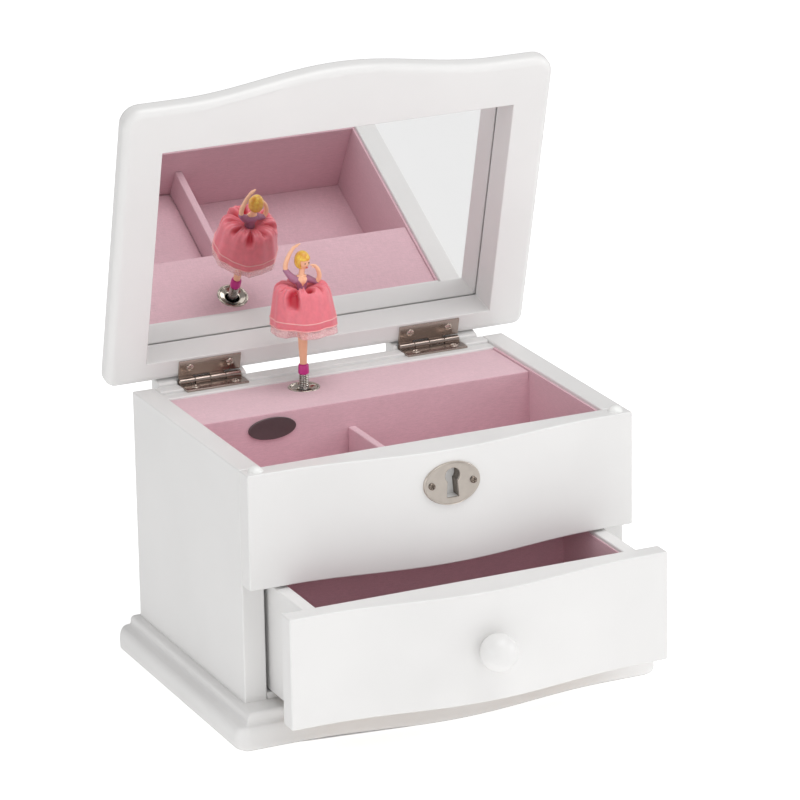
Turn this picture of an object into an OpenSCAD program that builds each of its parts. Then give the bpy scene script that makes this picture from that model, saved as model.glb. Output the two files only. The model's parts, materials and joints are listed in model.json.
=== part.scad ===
// Wind-up music box: a small wooden jewellery case with a mirrored lid, a drawer,
// a lined tray and a dancer who turns on a spring above a comb-and-cylinder movement.
// Origin: middle of the case footprint on the table, +Y to the back, +Z up, millimetres.

/* [Case] */
// Width across the side panels
case_w = 150; // [146:1:160]
// Depth from the flat ends of the front to the back
case_d = 105.5; // [104:0.5:112]
// Height of the rim above the table
case_h = 100.4; // [99:0.2:106]
// Thickness of the side panels
side_t = 8.5; // [7:0.5:10]
// Thickness of the front panel and the drawer front at their ends
front_t = 7.5; // [6:0.5:9]
// Thickness of the back panel
back_t = 6; // [5:0.5:7]
// Height of the fixed front panel above the drawer
front_h = 42.6; // [40.4:0.2:46.4]
// How far the waved fronts swell at the middle
wave_rise = 6.6; // [3:0.2:9]
// Half of the width that the wave runs over
wave_half = 62; // [50:1:64]
// Depth of the hinge rail inside the back panel
rail_d = 5.5; // [4:0.5:7]
// Drop of the hinge rail below the rim
rail_drop = 1; // [0.6:0.1:1.4]

/* [Base] */
// Height of the base moulding with its felt
base_h = 13.4; // [11:0.2:16]
// Thickness of the felt under the base
felt_t = 0.4; // [0.3:0.1:1]
// How far the base stands out at the sides
base_out_side = 8; // [6:0.5:10]
// How far the base stands out at the front
base_out_front = 5; // [3:0.5:7]
// How far the base stands out at the back
base_out_back = 5; // [3:0.5:7]
// Corner radius of the base
base_corner_r = 5; // [3:0.5:8]
// Share of the base's height that its bead takes up
base_bead_share = 0.68; // [0.6:0.01:0.74]
// Thickness of the bottom panel
bottom_t = 2.5; // [2:0.5:4]

/* [Tray] */
// Depth of the tray's floor below the case's top
tray_depth = 32.6; // [30.4:0.2:34.4]
// Thickness of the tray floor
tray_t = 2.2; // [1.6:0.2:3]
// Thickness of the cloth-covered lining boards
lining_t = 1; // [0.6:0.1:1.4]
// Thickness of the lining on the tray floor
floor_lining_t = 0.8; // [0.4:0.1:1.2]
// Drop of the lining's top edge below the rim
lining_drop = 1.2; // [0.8:0.1:2]
// Drop of the platform below the rim
platform_drop = 1.8; // [1.6:0.1:2.4]
// Thickness of the platform
platform_t = 3; // [2:0.5:4]
// Distance from the front edge of the platform to the back panel
platform_d = 35.75; // [35:0.05:38]
// Thickness of the wall in front of the movement
wall_t = 3; // [2:0.5:4]
// Distance of the divider's middle to the left of the centre
divider_x = 6.5; // [2:0.5:12]
// Thickness of the divider
divider_t = 3; // [2:0.5:4]
// Height of the divider's top below the rim
divider_drop = 11.6; // [8:0.2:16]
// Height of the raised floor in the left compartment, above the tray floor
raised_h = 10.7; // [6:0.1:14]
// Width of the name plate
plate_w = 18.6; // [16:0.2:20.6]
// Height of the name plate
plate_h = 8.2; // [5:0.2:9]
// Distance of the name plate's middle to the left of the centre
plate_x = 38; // [38:0.5:45]
// Thickness of the name plate
plate_t = 0.8; // [0.4:0.1:1.2]

/* [Lid] */
// Angle the lid stands open at
lid_open = 75.3; // [60:0.1:85]
// How far the lid overhangs the sides and the front
lid_over = 9.4; // [7:0.2:12]
// Thickness of the lid frame
lid_frame_t = 14.5; // [13:0.5:17]
// Height of the bead round the lid's edge
lid_bead_h = 8.4; // [7:0.2:10]
// How far the cove draws the lid in above the bead
lid_cove_in = 8; // [6:0.5:10]
// Corner radius of the lid at the front
lid_corner_r = 7; // [5:0.5:9]
// Corner radius of the lid at the hinges
lid_back_corner_r = 4; // [3.6:0.2:6]
// Gap between the hinge axis and the lid's back edge
lid_back_gap = 0.5; // [0.3:0.1:0.9]
// Width of the opening that shows the mirror
opening_w = 138.6; // [130:0.2:142]
// Length of the opening that shows the mirror
opening_l = 87.7; // [80:0.1:90]
// Distance from the hinge axis to the opening
opening_start = 9.1; // [8.8:0.1:12]
// Depth of the mirror behind the inner face
mirror_depth = 12.5; // [10:0.1:12.5]
// Thickness of the mirror glass
glass_t = 1.5; // [1.2:0.1:1.5]
// Width of the ledge that the frame holds the mirror by
mirror_ledge = 1.6; // [1:0.2:2.5]
// Width of the bevel round the mirror
mirror_bevel = 2.8; // [2.4:0.1:6]
// Thickness of the card behind the mirror
card_t = 0.4; // [0.3:0.1:0.5]
// Thickness of the board that closes the lid's top
lid_top_t = 3; // [2:0.5:4]
// Inset of the top board from the frame's cove
lid_top_in = 1.5; // [1:0.5:3]
// Lap of the raised board past the mirror's seat on the hinge side
lid_board_lap = 1.5; // [1:0.1:2]

/* [Hinges] */
// Length of each hinge
hinge_l = 24.5; // [20:0.5:27]
// Distance of each hinge's middle from the centre
hinge_x = 44.4; // [38:0.2:48]
// Gap between the rail and the closed lid
hinge_gap = 3; // [2.8:0.1:3.6]
// Thickness of the hinge leaves
leaf_t = 0.8; // [0.6:0.1:0.9]
// Reach of each leaf from the hinge axis
leaf_reach = 8.2; // [7.4:0.1:8.4]
// Radius of the hinge pins
hinge_pin_r = 0.7; // [0.5:0.05:0.8]
// Radius of the round heads on the hinge screws
hinge_head_r = 1.7; // [1.4:0.1:2]

/* [Drawer] */
// How far the drawer stands out
drawer_out = 30; // [0:1:40]
// Height of the drawer front's lower edge
drawer_low_z = 16.2; // [16:0.1:18]
// Gap over the drawer front
drawer_gap = 0.5; // [0.3:0.1:1]
// How much narrower the drawer front is than the case at each side
drawer_front_in = 1.6; // [0.5:0.1:3]
// Length of the drawer behind its front
drawer_l = 52.5; // [48:0.5:54]
// Thickness of the drawer's sides and back
drawer_side_t = 5.2; // [4:0.2:6]
// Drop of the drawer's sides below the top of its front
drawer_side_drop = 0.4; // [0.2:0.1:4]
// Drop of the drawer's lining below the top of its sides
drawer_lining_drop = 1.2; // [0.4:0.1:2]
// Side clearance of the drawer
drawer_play = 1.5; // [0.4:0.1:2]
// Radius of the ball of the knob
knob_r = 6.8; // [5:0.1:8]
// Distance from the drawer front to the middle of the knob
knob_off = 6.4; // [6:0.1:9]

/* [Fittings] */
// Width of the escutcheon
esc_w = 22; // [18:0.2:26]
// Height of the escutcheon
esc_h = 15.8; // [13:0.2:20]
// Thickness of the escutcheon
esc_t = 1; // [0.6:0.1:1.4]
// Height of the escutcheon's middle below the rim
esc_drop = 12.4; // [10.5:0.1:18]
// Depth of the keyhole's recess in the front panel
keyhole_deep = 4; // [1:0.5:5]
// Radius of the bumpers on the rim
bumper_r = 2.8; // [2:0.1:3.4]
// Outer radius of the ring round the spindle
ring_r = 6; // [5.4:0.1:7]
// Height of the rolled rim of the ring
ring_rim = 0.35; // [0.2:0.05:0.4]
// Radius of the hole in the ring
ring_hole_r = 2.6; // [2.4:0.1:4]

/* [Movement] */
// Distance of the spindle to the left of the centre
spindle_x = 15.4; // [10:0.1:20]
// Distance from the spindle to the back panel's inner face
spindle_back = 13.75; // [13.5:0.05:15]
// Radius of the tune cylinder
cylinder_r = 6.5; // [6:0.1:7]
// Length of the tune cylinder
cylinder_l = 21; // [20:0.5:22]
// Depth of the spring barrel's axis below the case's top
barrel_drop = 52.4; // [51.4:0.5:54.4]
// Radius of the spring barrel
barrel_r = 10.4; // [9:0.1:10.6]
// Length of the spring barrel
barrel_l = 10; // [8:0.5:11]
// Teeth of the barrel's crown wheel
crown_teeth = 40; // [38:1:42]
// Leaves of the pinion on the cylinder
pinion_teeth = 8; // [7:1:9]
// Module of the crown wheel and its pinion
crown_mod = 0.6; // [0.58:0.01:0.62]
// Teeth of the wheel on the cylinder
train_teeth = 40; // [36:1:42]
// Teeth of the governor's pinion
gov_teeth = 10; // [8:1:12]
// Module of the train between cylinder and governor
train_mod = 0.4; // [0.38:0.01:0.42]
// Notes of the comb
notes = 18; // [14:1:18]
// Thickness of the bedplate
bed_t = 2; // [1.5:0.5:2.5]
// Radius of the winding arbor
arbor_r = 1.5; // [1.2:0.1:2]
// Span of the winding key's wings
key_span = 25; // [18:1:30]

/* [Dancer] */
// Height of the dancer from shoe to hand
dancer_h = 50; // [44:1:52]
// Height of the shoe above the platform
shoe_gap = 5.2; // [5:0.1:7]
// Radius of the shoe
shoe_r = 2; // [1.5:0.05:2.05]
// Radius of the skirt at its hem
skirt_r = 12.3; // [10:0.1:12.4]
// Height of the hem above the shoe's sole
hem_h = 16.4; // [14:0.2:20]
// Height of the waist above the shoe's sole
waist_h = 33; // [32:0.5:35]

/* [Hidden] */
$fn = 48;

// Clearances
touch = 0.1;
run_fit = 0.06;
free_fit = 0.5;
through = 1;

// Case faces
half_w = case_w / 2;
front_y = -case_d / 2;
back_y = case_d / 2;
inner_x = half_w - side_t;
panel_y = front_y + front_t;
back_in_y = back_y - back_t;
bottom_z = base_h + bottom_t;
front_low_z = case_h - front_h;
tray_z = case_h - tray_depth;
barrel_z = case_h - barrel_drop;
rail_top_z = case_h - rail_drop;
rail_y = back_in_y - rail_d;
platform_z = case_h - platform_drop;
platform_y = back_in_y - platform_d;
wall_y = platform_y + lining_t;
lining_top_z = case_h - lining_drop;
lined_x = inner_x - lining_t;
lined_y = panel_y + lining_t;

// Hinge axis, and the lid in its closed place: y runs back from the axis, z up from it
axis_y = back_y - 0.15;
axis_z = rail_top_z + hinge_gap / 2;
lid_face = hinge_gap / 2;
knuckle_r = hinge_gap / 2 - touch;
lid_half_w = half_w + lid_over;
lid_front = front_y - lid_over - axis_y;
lid_frame_top = lid_face + lid_frame_t;
mirror_z = lid_face + mirror_depth;
knuckle_count = 4;
knuckle_pitch = hinge_l / knuckle_count;
hinge_screw_x = hinge_l * 0.32;
hinge_screw_y = leaf_reach * 0.64;

// Movement places
spindle = [-spindle_x, back_in_y - spindle_back];
bed_y = back_in_y - bed_t;
pinion_r = crown_mod * pinion_teeth / 2;
crown_r = crown_mod * crown_teeth / 2;
crown_band = 1.2;
crown_y = spindle[1] + pinion_r;
tooth_up = 0.7;
tooth_down = 1;
pinion_h = 2.8;
pinion_z = barrel_z + crown_r - pinion_h / 2 + 0.2;
arm_t = 1.3;
arm_gap = 0.35;
lower_arm_z = pinion_z + pinion_h + arm_gap;
cylinder_z = lower_arm_z + arm_t + arm_gap;
train_r = train_mod * train_teeth / 2;
train_wheel_t = 1.4;
train_z = cylinder_z + cylinder_l + 0.6;
gov_pinion_r = train_mod * gov_teeth / 2;
gov = [spindle[0] - train_r - gov_pinion_r - touch, spindle[1]];
worm_teeth = 20;
worm_mod = 0.5;
worm_wheel_tip = worm_mod * (worm_teeth / 2 + tooth_up);
worm_wheel_t = 1.2;
worm_wheel_z = train_z + train_wheel_t + 1.4;
worm_r = 1;
fan_x = gov[0] - worm_wheel_tip - worm_r - touch;
fan_z = worm_wheel_z + worm_wheel_t / 2;
fan_r = 4.4;
fan_l = 4;
fan_off = 0.8;
worm_l = 6;
fan_reach = 13.5;
fan_post_y = spindle[1] - fan_reach;
upper_arm_z = worm_wheel_z + worm_wheel_t + 1.4;
arbor_thin_r = 0.8;
gov_arbor_r = 0.6;
arm_reach = 3;
web_t = 1.5;
rail_low_z = upper_arm_z + arm_t + 0.4;
pin_out = 0.5;
comb_tip_x = spindle[0] + cylinder_r + pin_out + 0.15;
comb_l = 24;
comb_base_l = 10;
comb_t = 1.2;
comb_mid_z = cylinder_z + cylinder_l / 2;
note_pitch = 1.08;
note_w = 0.8;
comb_h = notes * note_pitch;
bed_low_z = barrel_z - crown_r - 3;
bed_left_x = fan_x - 3.5;
bed_right_x = comb_tip_x + comb_l + 1.5;
bridge_y = crown_y - 0.6 - barrel_l - 1.9;
bridge_t = 1.5;
bridge_post_x = crown_r + 3.2;
bridge_post_r = 1.8;
mount_screw_r = 1.3;
mount_screw_at = [[bed_right_x - 4, bed_low_z + 4], [bed_left_x + 4, bed_low_z + 4],
    [bed_right_x - 4, upper_arm_z - 3]];

// Dancer places
pivot_up = 2.6;
pivot_z = platform_z + pivot_up;
sole_z = platform_z + shoe_gap;
shoe_h = 3.9;
spring_r = 1.8;
spindle_tip_z = pivot_z - spring_r - touch;
leg_r = 1.3;

// Front wave: how far a waved front stands out at x
function wave(x) = abs(x) >= wave_half ? 0 : wave_rise * (1 + cos(180 * x / wave_half)) / 2;
wave_steps = 28;
wave_x = [for (i = [0:wave_steps]) wave_half * (2 * i / wave_steps - 1)];

// Points of an ellipse
function oval(rx, ry, n = 48) = [for (i = [0:n - 1]) [rx * cos(360 * i / n), ry * sin(360 * i / n)]];

// Points of a gear outline with straight flanks; its first tooth points along +X
function gear(teeth, mod, fat = 0.4) = [for (i = [0:teeth - 1])
    for (p = [[-tooth_down, -fat - 0.12], [tooth_up, -fat + 0.14], [tooth_up, fat - 0.14],
        [-tooth_down, fat + 0.12]])
    let (r = mod * (teeth / 2 + p[0]), a = 360 * (i + p[1] / 2) / teeth)
    [r * cos(a), r * sin(a)]];

// One corner's arc, from angle a to a + 90
function corner(x, y, r, a) = [for (t = [0:15:90]) [x + r * cos(a + t), y + r * sin(a + t)]];

// Outline of a slab with a waved front and round corners, drawn in on each side
function slab(w, front, back, r, back_r, in_side, in_front, in_back) =
    let (x = w - in_side, f = front + in_front, b = back - in_back)
    let (c = max(r - in_side, 0.4), d = max(back_r - in_side, 0.4))
    concat(corner(-x + c, f + c, c, 180), [for (p = wave_x) [p, f - wave(p)]],
        corner(x - c, f + c, c, 270), corner(x - d, b - d, d, 0), corner(-x + d, b - d, d, 90));

// Stack of slabs: each row of rows is the slab's outline and its height
module stack(rows) {
    n = len(rows[0][0]);
    points = [for (row = rows) for (p = row[0]) [p[0], p[1], row[1]]];
    top = (len(rows) - 1) * n;
    sides = [for (k = [0:len(rows) - 2]) for (i = [0:n - 1])
        [k * n + i, (k + 1) * n + i, (k + 1) * n + (i + 1) % n, k * n + (i + 1) % n]];
    caps = [[for (i = [0:n - 1]) i], [for (i = [n - 1:-1:0]) top + i]];
    polyhedron(points, concat(sides, caps));
}

// Box between two corners
module block(low, high) {
    translate(low) cube(high - low);
}

// Cylinder along +Y from a point
module rod_y(at, r, h) {
    translate(at) rotate([-90, 0, 0]) cylinder(r = r, h = h);
}

// Plan of a panel whose front follows the wave
module wave_plan(w, front, thick) {
    polygon(concat([[-w, front]], [for (x = wave_x) [x, front - wave(x)]],
        [[w, front], [w, front + thick], [-w, front + thick]]));
}

module at_lid() {
    translate([0, axis_y, axis_z]) rotate([-lid_open, 0, 0]) children();
}

module at_drawer() {
    translate([0, -drawer_out, 0]) children();
}

module at_both_hinges() {
    for (side = [-1, 1]) translate([side * hinge_x, 0, 0]) children();
}

// ---- Base ----

// Outline of the base drawn in by a share of how far it stands out
function base_row(share, z) = [slab(half_w + base_out_side, front_y - base_out_front,
    back_y + base_out_back, base_corner_r, base_corner_r, share * base_out_side, share * base_out_front,
    share * base_out_back), z];

module base_felt() {
    color("dimgray") stack([base_row(0.3, 0), base_row(0.3, felt_t)]);
}

// From the foot up: a large bead, a small cove, and a fillet under the case
module base_moulding() {
    foot_h = 1.8;
    foot_in = 0.18;
    bead_in = 0.28;
    cove_in = 0.6;
    fillet_in = 0.85;
    bead_z = base_h * base_bead_share;
    bead_low_z = bead_z * 0.55;
    cove_z = bead_z + base_h * 0.11;
    fillet_z = base_h - 1.7;
    color("white") difference() {
        stack(concat(
            [for (a = [0:30:90]) base_row(foot_in * (1 - sin(a)), felt_t + foot_h * (1 - cos(a)))],
            [for (a = [0:15:90])
                base_row(bead_in * (1 - cos(a)), bead_low_z + (bead_z - bead_low_z) * sin(a))],
            [for (a = [30:30:90])
                base_row(bead_in + (cove_in - bead_in) * sin(a), bead_z + (cove_z - bead_z) * (1 - cos(a)))],
            [for (a = [0:30:90])
                base_row(cove_in + (fillet_in - cove_in) * (1 - cos(a)),
                    fillet_z + (base_h - fillet_z) * sin(a))]));
        block([-inner_x + 4, panel_y + 4, -through], [inner_x - 4, back_in_y - 4, base_h + through]);
    }
}

module bottom_panel() {
    color("white") block([-inner_x, panel_y, base_h], [inner_x, back_in_y, bottom_z]);
}

// ---- Case ----

module side_panel(side) {
    color("white") block([side > 0 ? inner_x : -half_w, panel_y, base_h],
        [side > 0 ? half_w : -inner_x, back_y, case_h]);
}

module side_panel_left() {
    side_panel(-1);
}

module side_panel_right() {
    side_panel(1);
}

module back_panel() {
    color("white") difference() {
        block([-inner_x, back_in_y, base_h], [inner_x, back_y, case_h]);
        at_both_hinges() block([-hinge_l / 2 - 0.2, back_in_y - through, rail_top_z],
            [hinge_l / 2 + 0.2, back_y + through, case_h + through]);
        rod_y([spindle[0], back_in_y - through, barrel_z], arbor_r + free_fit, back_t + 2 * through);
        for (p = mount_screw_at)
            rod_y([p[0], back_in_y - through, p[1]], mount_screw_r, back_t + 2 * through);
        lower_screw_shanks(through);
    }
}

module hinge_rail() {
    color("white") difference() {
        block([-inner_x, rail_y, rail_low_z], [inner_x, back_in_y, rail_top_z]);
        lower_screw_shanks(through);
    }
}

// Blocks behind the hinges; their tops are planed to the open lid's end face
stop_w = 35;
stop_d = 8.8;
stop_h = 12;
knuckle_gap = 0.3;
module lid_stop_blocks() {
    color("white") for (side = [-1, 1]) difference() {
        translate([side * (hinge_x + 2.8), back_y, rail_top_z - stop_h])
            linear_extrude(stop_h + 8) hull() {
                for (x = [-1, 1]) translate([x * (stop_w / 2 - 3), stop_d - 3]) circle(3);
                translate([-stop_w / 2, 0]) square([stop_w, 1]);
            }
        at_lid() block([-lid_half_w, -3 * stop_d, -stop_d],
            [lid_half_w, -lid_back_gap + touch, 3 * stop_d]);
        at_both_hinges() block([-hinge_l / 2 - knuckle_gap, back_y - through, axis_z - knuckle_r - knuckle_gap],
            [hinge_l / 2 + knuckle_gap, axis_y + knuckle_r + knuckle_gap, case_h + stop_h]);
    }
}

module front_panel() {
    color("white") difference() {
        translate([0, 0, front_low_z]) linear_extrude(case_h - front_low_z)
            wave_plan(half_w, front_y, front_t);
        at_escutcheon() keyhole(keyhole_deep, keyhole_deep + 6 * through);
        escutcheon_shanks(0);
    }
}

// ---- Escutcheon ----

// Middle of the front panel's face, +Z drawn here pointing out of the front
module at_escutcheon() {
    translate([0, front_y - wave_rise, case_h - esc_drop]) rotate([90, 0, 0]) children();
}

// Keyhole with a round top and a flared foot, from deep below the face
module keyhole(deep, h) {
    top = esc_h * 0.18;
    waist = esc_w * 0.08;
    foot = esc_w * 0.11;
    translate([0, 0, -deep]) linear_extrude(h) {
        translate([0, top]) circle(esc_w * 0.13);
        polygon([[-waist, top], [waist, top], [foot, -esc_h * 0.33], [-foot, -esc_h * 0.33]]);
    }
}

esc_pin_x = esc_w * 0.368;
esc_pin_r = 0.6;
esc_head_r = 1.25;
module escutcheon_shanks(grow) {
    for (side = [-1, 1])
        rod_y([side * esc_pin_x, front_y - wave(esc_pin_x) - esc_t, case_h - esc_drop],
            esc_pin_r + grow, 5);
}

module escutcheon() {
    color("silver") difference() {
        intersection() {
            at_escutcheon() translate([0, 0, -4]) linear_extrude(8) polygon(oval(esc_w / 2, esc_h / 2));
            translate([0, 0, case_h - esc_drop - esc_h]) linear_extrude(2 * esc_h) difference() {
                wave_plan(wave_half, front_y - esc_t, front_t);
                wave_plan(half_w, front_y, front_t + esc_t + through);
            }
        }
        at_escutcheon() keyhole(keyhole_deep, keyhole_deep + 4);
        escutcheon_shanks(0);
    }
}

module escutcheon_pins() {
    color("silver") for (side = [-1, 1]) {
        face = front_y - wave(esc_pin_x - esc_head_r) - esc_t;
        rod_y([side * esc_pin_x, face, case_h - esc_drop], esc_pin_r, 5);
        translate([side * esc_pin_x, face, case_h - esc_drop]) rotate([90, 0, 0])
            dome(esc_head_r, 0.7);
    }
}

// Low dome of radius r and height h on the XY plane
module dome(r, h) {
    ball = (r * r + h * h) / (2 * h);
    rotate_extrude() intersection() {
        translate([0, h - ball]) circle(ball);
        square([r + through, h + through]);
    }
}

module rim_bumpers() {
    color([0.9, 0.92, 0.93]) for (side = [-1, 1])
        translate([side * (half_w - side_t / 2 - 0.6), front_y + front_t / 2 + 0.4, case_h])
            dome(bumper_r, axis_z + lid_face - case_h - touch);
}

// ---- Tray ----

module tray_floor() {
    color("white") block([-inner_x, panel_y, tray_z - tray_t], [inner_x, wall_y, tray_z]);
}

module movement_wall() {
    color("white") block([-lined_x, wall_y, bottom_z], [lined_x, wall_y + wall_t, platform_z - platform_t]);
}

module platform() {
    color("pink") difference() {
        block([-lined_x, platform_y, platform_z - platform_t], [lined_x, rail_y, platform_z]);
        translate([spindle[0], spindle[1], 0]) cylinder(r = ring_r - 1, h = case_h);
    }
}

module spindle_ring() {
    color("silver") translate([spindle[0], spindle[1], platform_z]) rotate_extrude()
        polygon([[ring_hole_r, -2], [ring_hole_r + 0.5, -2], [ring_hole_r + 0.5, -1.3],
            [ring_r - 1.1, -0.3], [ring_r - 1.1, 0], [ring_r, 0], [ring_r, ring_rim / 2],
            [ring_r - 0.4, ring_rim], [ring_r - 0.9, ring_rim], [ring_hole_r, -0.8]]);
}

plate_drop = 1.5;
module name_plate() {
    color("gray") translate([-plate_x, platform_y, platform_z - plate_h / 2 - plate_drop])
        rotate([90, 0, 0]) linear_extrude(plate_t) polygon(oval(plate_w / 2, plate_h / 2));
}

module tray_divider() {
    color("pink") block([-divider_x - divider_t / 2, lined_y, tray_z],
        [-divider_x + divider_t / 2, platform_y, case_h - divider_drop]);
}

module raised_floor() {
    color("pink") block([-lined_x, lined_y, tray_z],
        [-divider_x - divider_t / 2, platform_y, tray_z + raised_h]);
}

module lining_sides() {
    color("pink") for (side = [-1, 1])
        block([side > 0 ? lined_x : -inner_x, panel_y, tray_z],
            [side > 0 ? inner_x : -lined_x, rail_y, lining_top_z]);
}

module lining_front() {
    color("pink") block([-lined_x, panel_y, tray_z], [lined_x, lined_y, lining_top_z]);
}

module lining_back() {
    color("pink") block([-lined_x, platform_y, tray_z], [lined_x, wall_y, platform_z - platform_t]);
}

module lining_floor() {
    color("pink") block([-divider_x + divider_t / 2, lined_y, tray_z],
        [lined_x, platform_y, tray_z + floor_lining_t]);
}

// ---- Hinges, drawn with the axis at the origin, each leaf reaching to -Y ----

// Leaf below the axis; its knuckles are the ones whose number is odd or even
module leaf(odd) {
    edge = knuckle_r + 0.25;
    difference() {
        union() {
            block([-hinge_l / 2, -leaf_reach, -lid_face], [hinge_l / 2, -edge, -lid_face + leaf_t]);
            for (i = [0:knuckle_count - 1]) if (i % 2 == odd) translate([
                (i - knuckle_count / 2) * knuckle_pitch + touch, 0, 0]) {
                    rotate([0, 90, 0]) cylinder(r = knuckle_r, h = knuckle_pitch - 2 * touch);
                    block([0, -edge - 0.5, -lid_face],
                        [knuckle_pitch - 2 * touch, -knuckle_r * 0.75, -lid_face + leaf_t]);
                }
        }
        translate([-hinge_l / 2 - through, 0, 0]) rotate([0, 90, 0])
            cylinder(r = hinge_pin_r + run_fit, h = hinge_l + 2 * through);
        leaf_screws(hinge_screw_r + 0.1, 3 * through);
    }
}

hinge_screw_r = 0.9;
hinge_screw_l = 6;
hinge_head_h = 0.55;
module leaf_screws(r, deep) {
    for (side = [-1, 1]) translate([side * hinge_screw_x, -hinge_screw_y, -lid_face - deep])
        cylinder(r = r, h = deep + leaf_t);
}

// Round-headed screws with a cross in each head
module hinge_screws() {
    leaf_screws(hinge_screw_r, hinge_screw_l);
    for (side = [-1, 1]) translate([side * hinge_screw_x, -hinge_screw_y, leaf_t - lid_face])
        difference() {
            dome(hinge_head_r, hinge_head_h);
            for (turn = [0, 90]) rotate([0, 0, turn + 20 * side]) translate([-0.9, -0.18, 0.15])
                cube([1.8, 0.36, 1]);
        }
}

module lower_screw_shanks(deep) {
    translate([0, axis_y, axis_z]) at_both_hinges()
        leaf_screws(hinge_screw_r, hinge_screw_l + deep - through);
}

module lower_hinge_leaves() {
    color("silver") translate([0, axis_y, axis_z]) at_both_hinges() leaf(1);
}

module lower_hinge_screws() {
    color("silver") translate([0, axis_y, axis_z]) at_both_hinges() hinge_screws();
}

module hinge_pins() {
    color("gray") translate([0, axis_y, axis_z]) at_both_hinges()
        translate([-hinge_l / 2, 0, 0]) rotate([0, 90, 0]) cylinder(r = hinge_pin_r, h = hinge_l);
}

// The upper leaf is the lower one turned over
module upper_hinge_leaves() {
    color("silver") at_lid() at_both_hinges() mirror([0, 0, 1]) leaf(0);
}

module upper_hinge_screws() {
    color("silver") at_lid() at_both_hinges() mirror([0, 0, 1]) hinge_screws();
}

// ---- Lid ----

lid_round = 3;
// The hinge side is narrow, so the cove and the board step in less there and still cover the mirror's seat
lid_near_in = opening_start - mirror_ledge - lid_back_gap - lid_board_lap;
function lid_near(inset) = inset <= lid_round ? inset : lid_round
    + (inset - lid_round) * (lid_near_in - lid_round) / (lid_cove_in + lid_top_in - lid_round);
function lid_row(inset, z) = [slab(lid_half_w, lid_front, -lid_back_gap, lid_corner_r,
    lid_back_corner_r, inset, inset, lid_near(inset)), z];
opening_far = -opening_start - opening_l;

module lid_frame() {
    bead_top = lid_face + lid_bead_h;
    cove_start = lid_round + 0.5;
    cove_w = lid_cove_in - cove_start;
    cove_h = lid_frame_t - lid_bead_h;
    color("white") at_lid() difference() {
        stack(concat(
            [for (a = [0:15:90]) lid_row(lid_round * (1 - sin(a)), lid_face + lid_round * (1 - cos(a)))],
            [for (a = [0:15:90]) lid_row(lid_round * (1 - cos(a)), bead_top - lid_round * (1 - sin(a)))],
            [for (a = [0:15:90]) lid_row(cove_start + cove_w * sin(a), bead_top + cove_h * (1 - cos(a)))]));
        block([-opening_w / 2, opening_far, 0], [opening_w / 2, -opening_start, lid_frame_top + through]);
        mirror_seat(0, lid_frame_top + through);
        at_both_hinges() mirror([0, 0, 1]) leaf_screws(hinge_screw_r, hinge_screw_l);
    }
}

// Room behind the frame's ledge, from the mirror's face to a height
module mirror_seat(play, top) {
    e = mirror_ledge - play;
    block([-opening_w / 2 - e, opening_far - e, mirror_z], [opening_w / 2 + e, -opening_start + e, top]);
}

module mirror_glass() {
    e = mirror_ledge - touch;
    low = [-opening_w / 2 - e, opening_far - e];
    high = [opening_w / 2 + e, -opening_start + e];
    bevel_drop = 0.5;
    color([0.8, 0.85, 0.88]) at_lid() hull() {
        block([low[0], low[1], mirror_z + bevel_drop], [high[0], high[1], mirror_z + glass_t]);
        block([low[0] + mirror_bevel, low[1] + mirror_bevel, mirror_z],
            [high[0] - mirror_bevel, high[1] - mirror_bevel, mirror_z + glass_t]);
    }
}

module mirror_backing() {
    e = mirror_ledge - touch;
    color("tan") at_lid() block([-opening_w / 2 - e, opening_far - e, mirror_z + glass_t],
        [opening_w / 2 + e, -opening_start + e, mirror_z + glass_t + card_t]);
}

module lid_top_panel() {
    inset = lid_cove_in + lid_top_in;
    soft = 1;
    color("white") at_lid() stack([lid_row(inset, lid_frame_top),
        lid_row(inset, lid_frame_top + lid_top_t - soft),
        lid_row(inset + soft, lid_frame_top + lid_top_t)]);
}

// ---- Drawer, drawn shut ----

drawer_half_w = inner_x - drawer_play;
drawer_top_z = front_low_z - drawer_gap;
drawer_mid_z = (drawer_low_z + drawer_top_z) / 2;
drawer_back_y = panel_y + drawer_l;
drawer_side_z = drawer_top_z - drawer_side_drop;
drawer_floor_z = drawer_low_z + 1.5;
drawer_floor_t = 2.5;
cloth_t = 0.6;

module drawer_front() {
    color("white") at_drawer() difference() {
        translate([0, 0, drawer_low_z]) linear_extrude(drawer_top_z - drawer_low_z)
            wave_plan(half_w - drawer_front_in, front_y, front_t - touch);
        knob_shank(0);
    }
}

module drawer_sides() {
    color("white") at_drawer() for (side = [-1, 1]) difference() {
        block([side > 0 ? drawer_half_w - drawer_side_t : -drawer_half_w, panel_y - touch, drawer_low_z],
            [side > 0 ? drawer_half_w : -drawer_half_w + drawer_side_t, drawer_back_y, drawer_side_z]);
        drawer_floor(0);
    }
}

module drawer_back() {
    color("white") at_drawer() block(
        [-drawer_half_w + drawer_side_t, drawer_back_y - drawer_side_t, drawer_floor_z + drawer_floor_t],
        [drawer_half_w - drawer_side_t, drawer_back_y, drawer_side_z]);
}

// The floor board sits in grooves half as deep as the sides are thick
module drawer_floor(play) {
    x = drawer_half_w - drawer_side_t / 2 - play;
    block([-x, panel_y - touch, drawer_floor_z], [x, drawer_back_y, drawer_floor_z + drawer_floor_t]);
}

module drawer_bottom() {
    color("white") at_drawer() drawer_floor(0);
}

module drawer_lining() {
    x = drawer_half_w - drawer_side_t;
    low = [-x, panel_y - touch, drawer_floor_z + drawer_floor_t];
    high = [x, drawer_back_y - drawer_side_t, drawer_side_z - drawer_lining_drop];
    color("palevioletred") at_drawer() difference() {
        block(low, high);
        block(low + cloth_t * [1, 1, 1], high + [-cloth_t, -cloth_t, through]);
        rod_y([0, panel_y - through, drawer_mid_z], knob_head_r + 0.2, cloth_t + 2 * through);
    }
}

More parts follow.
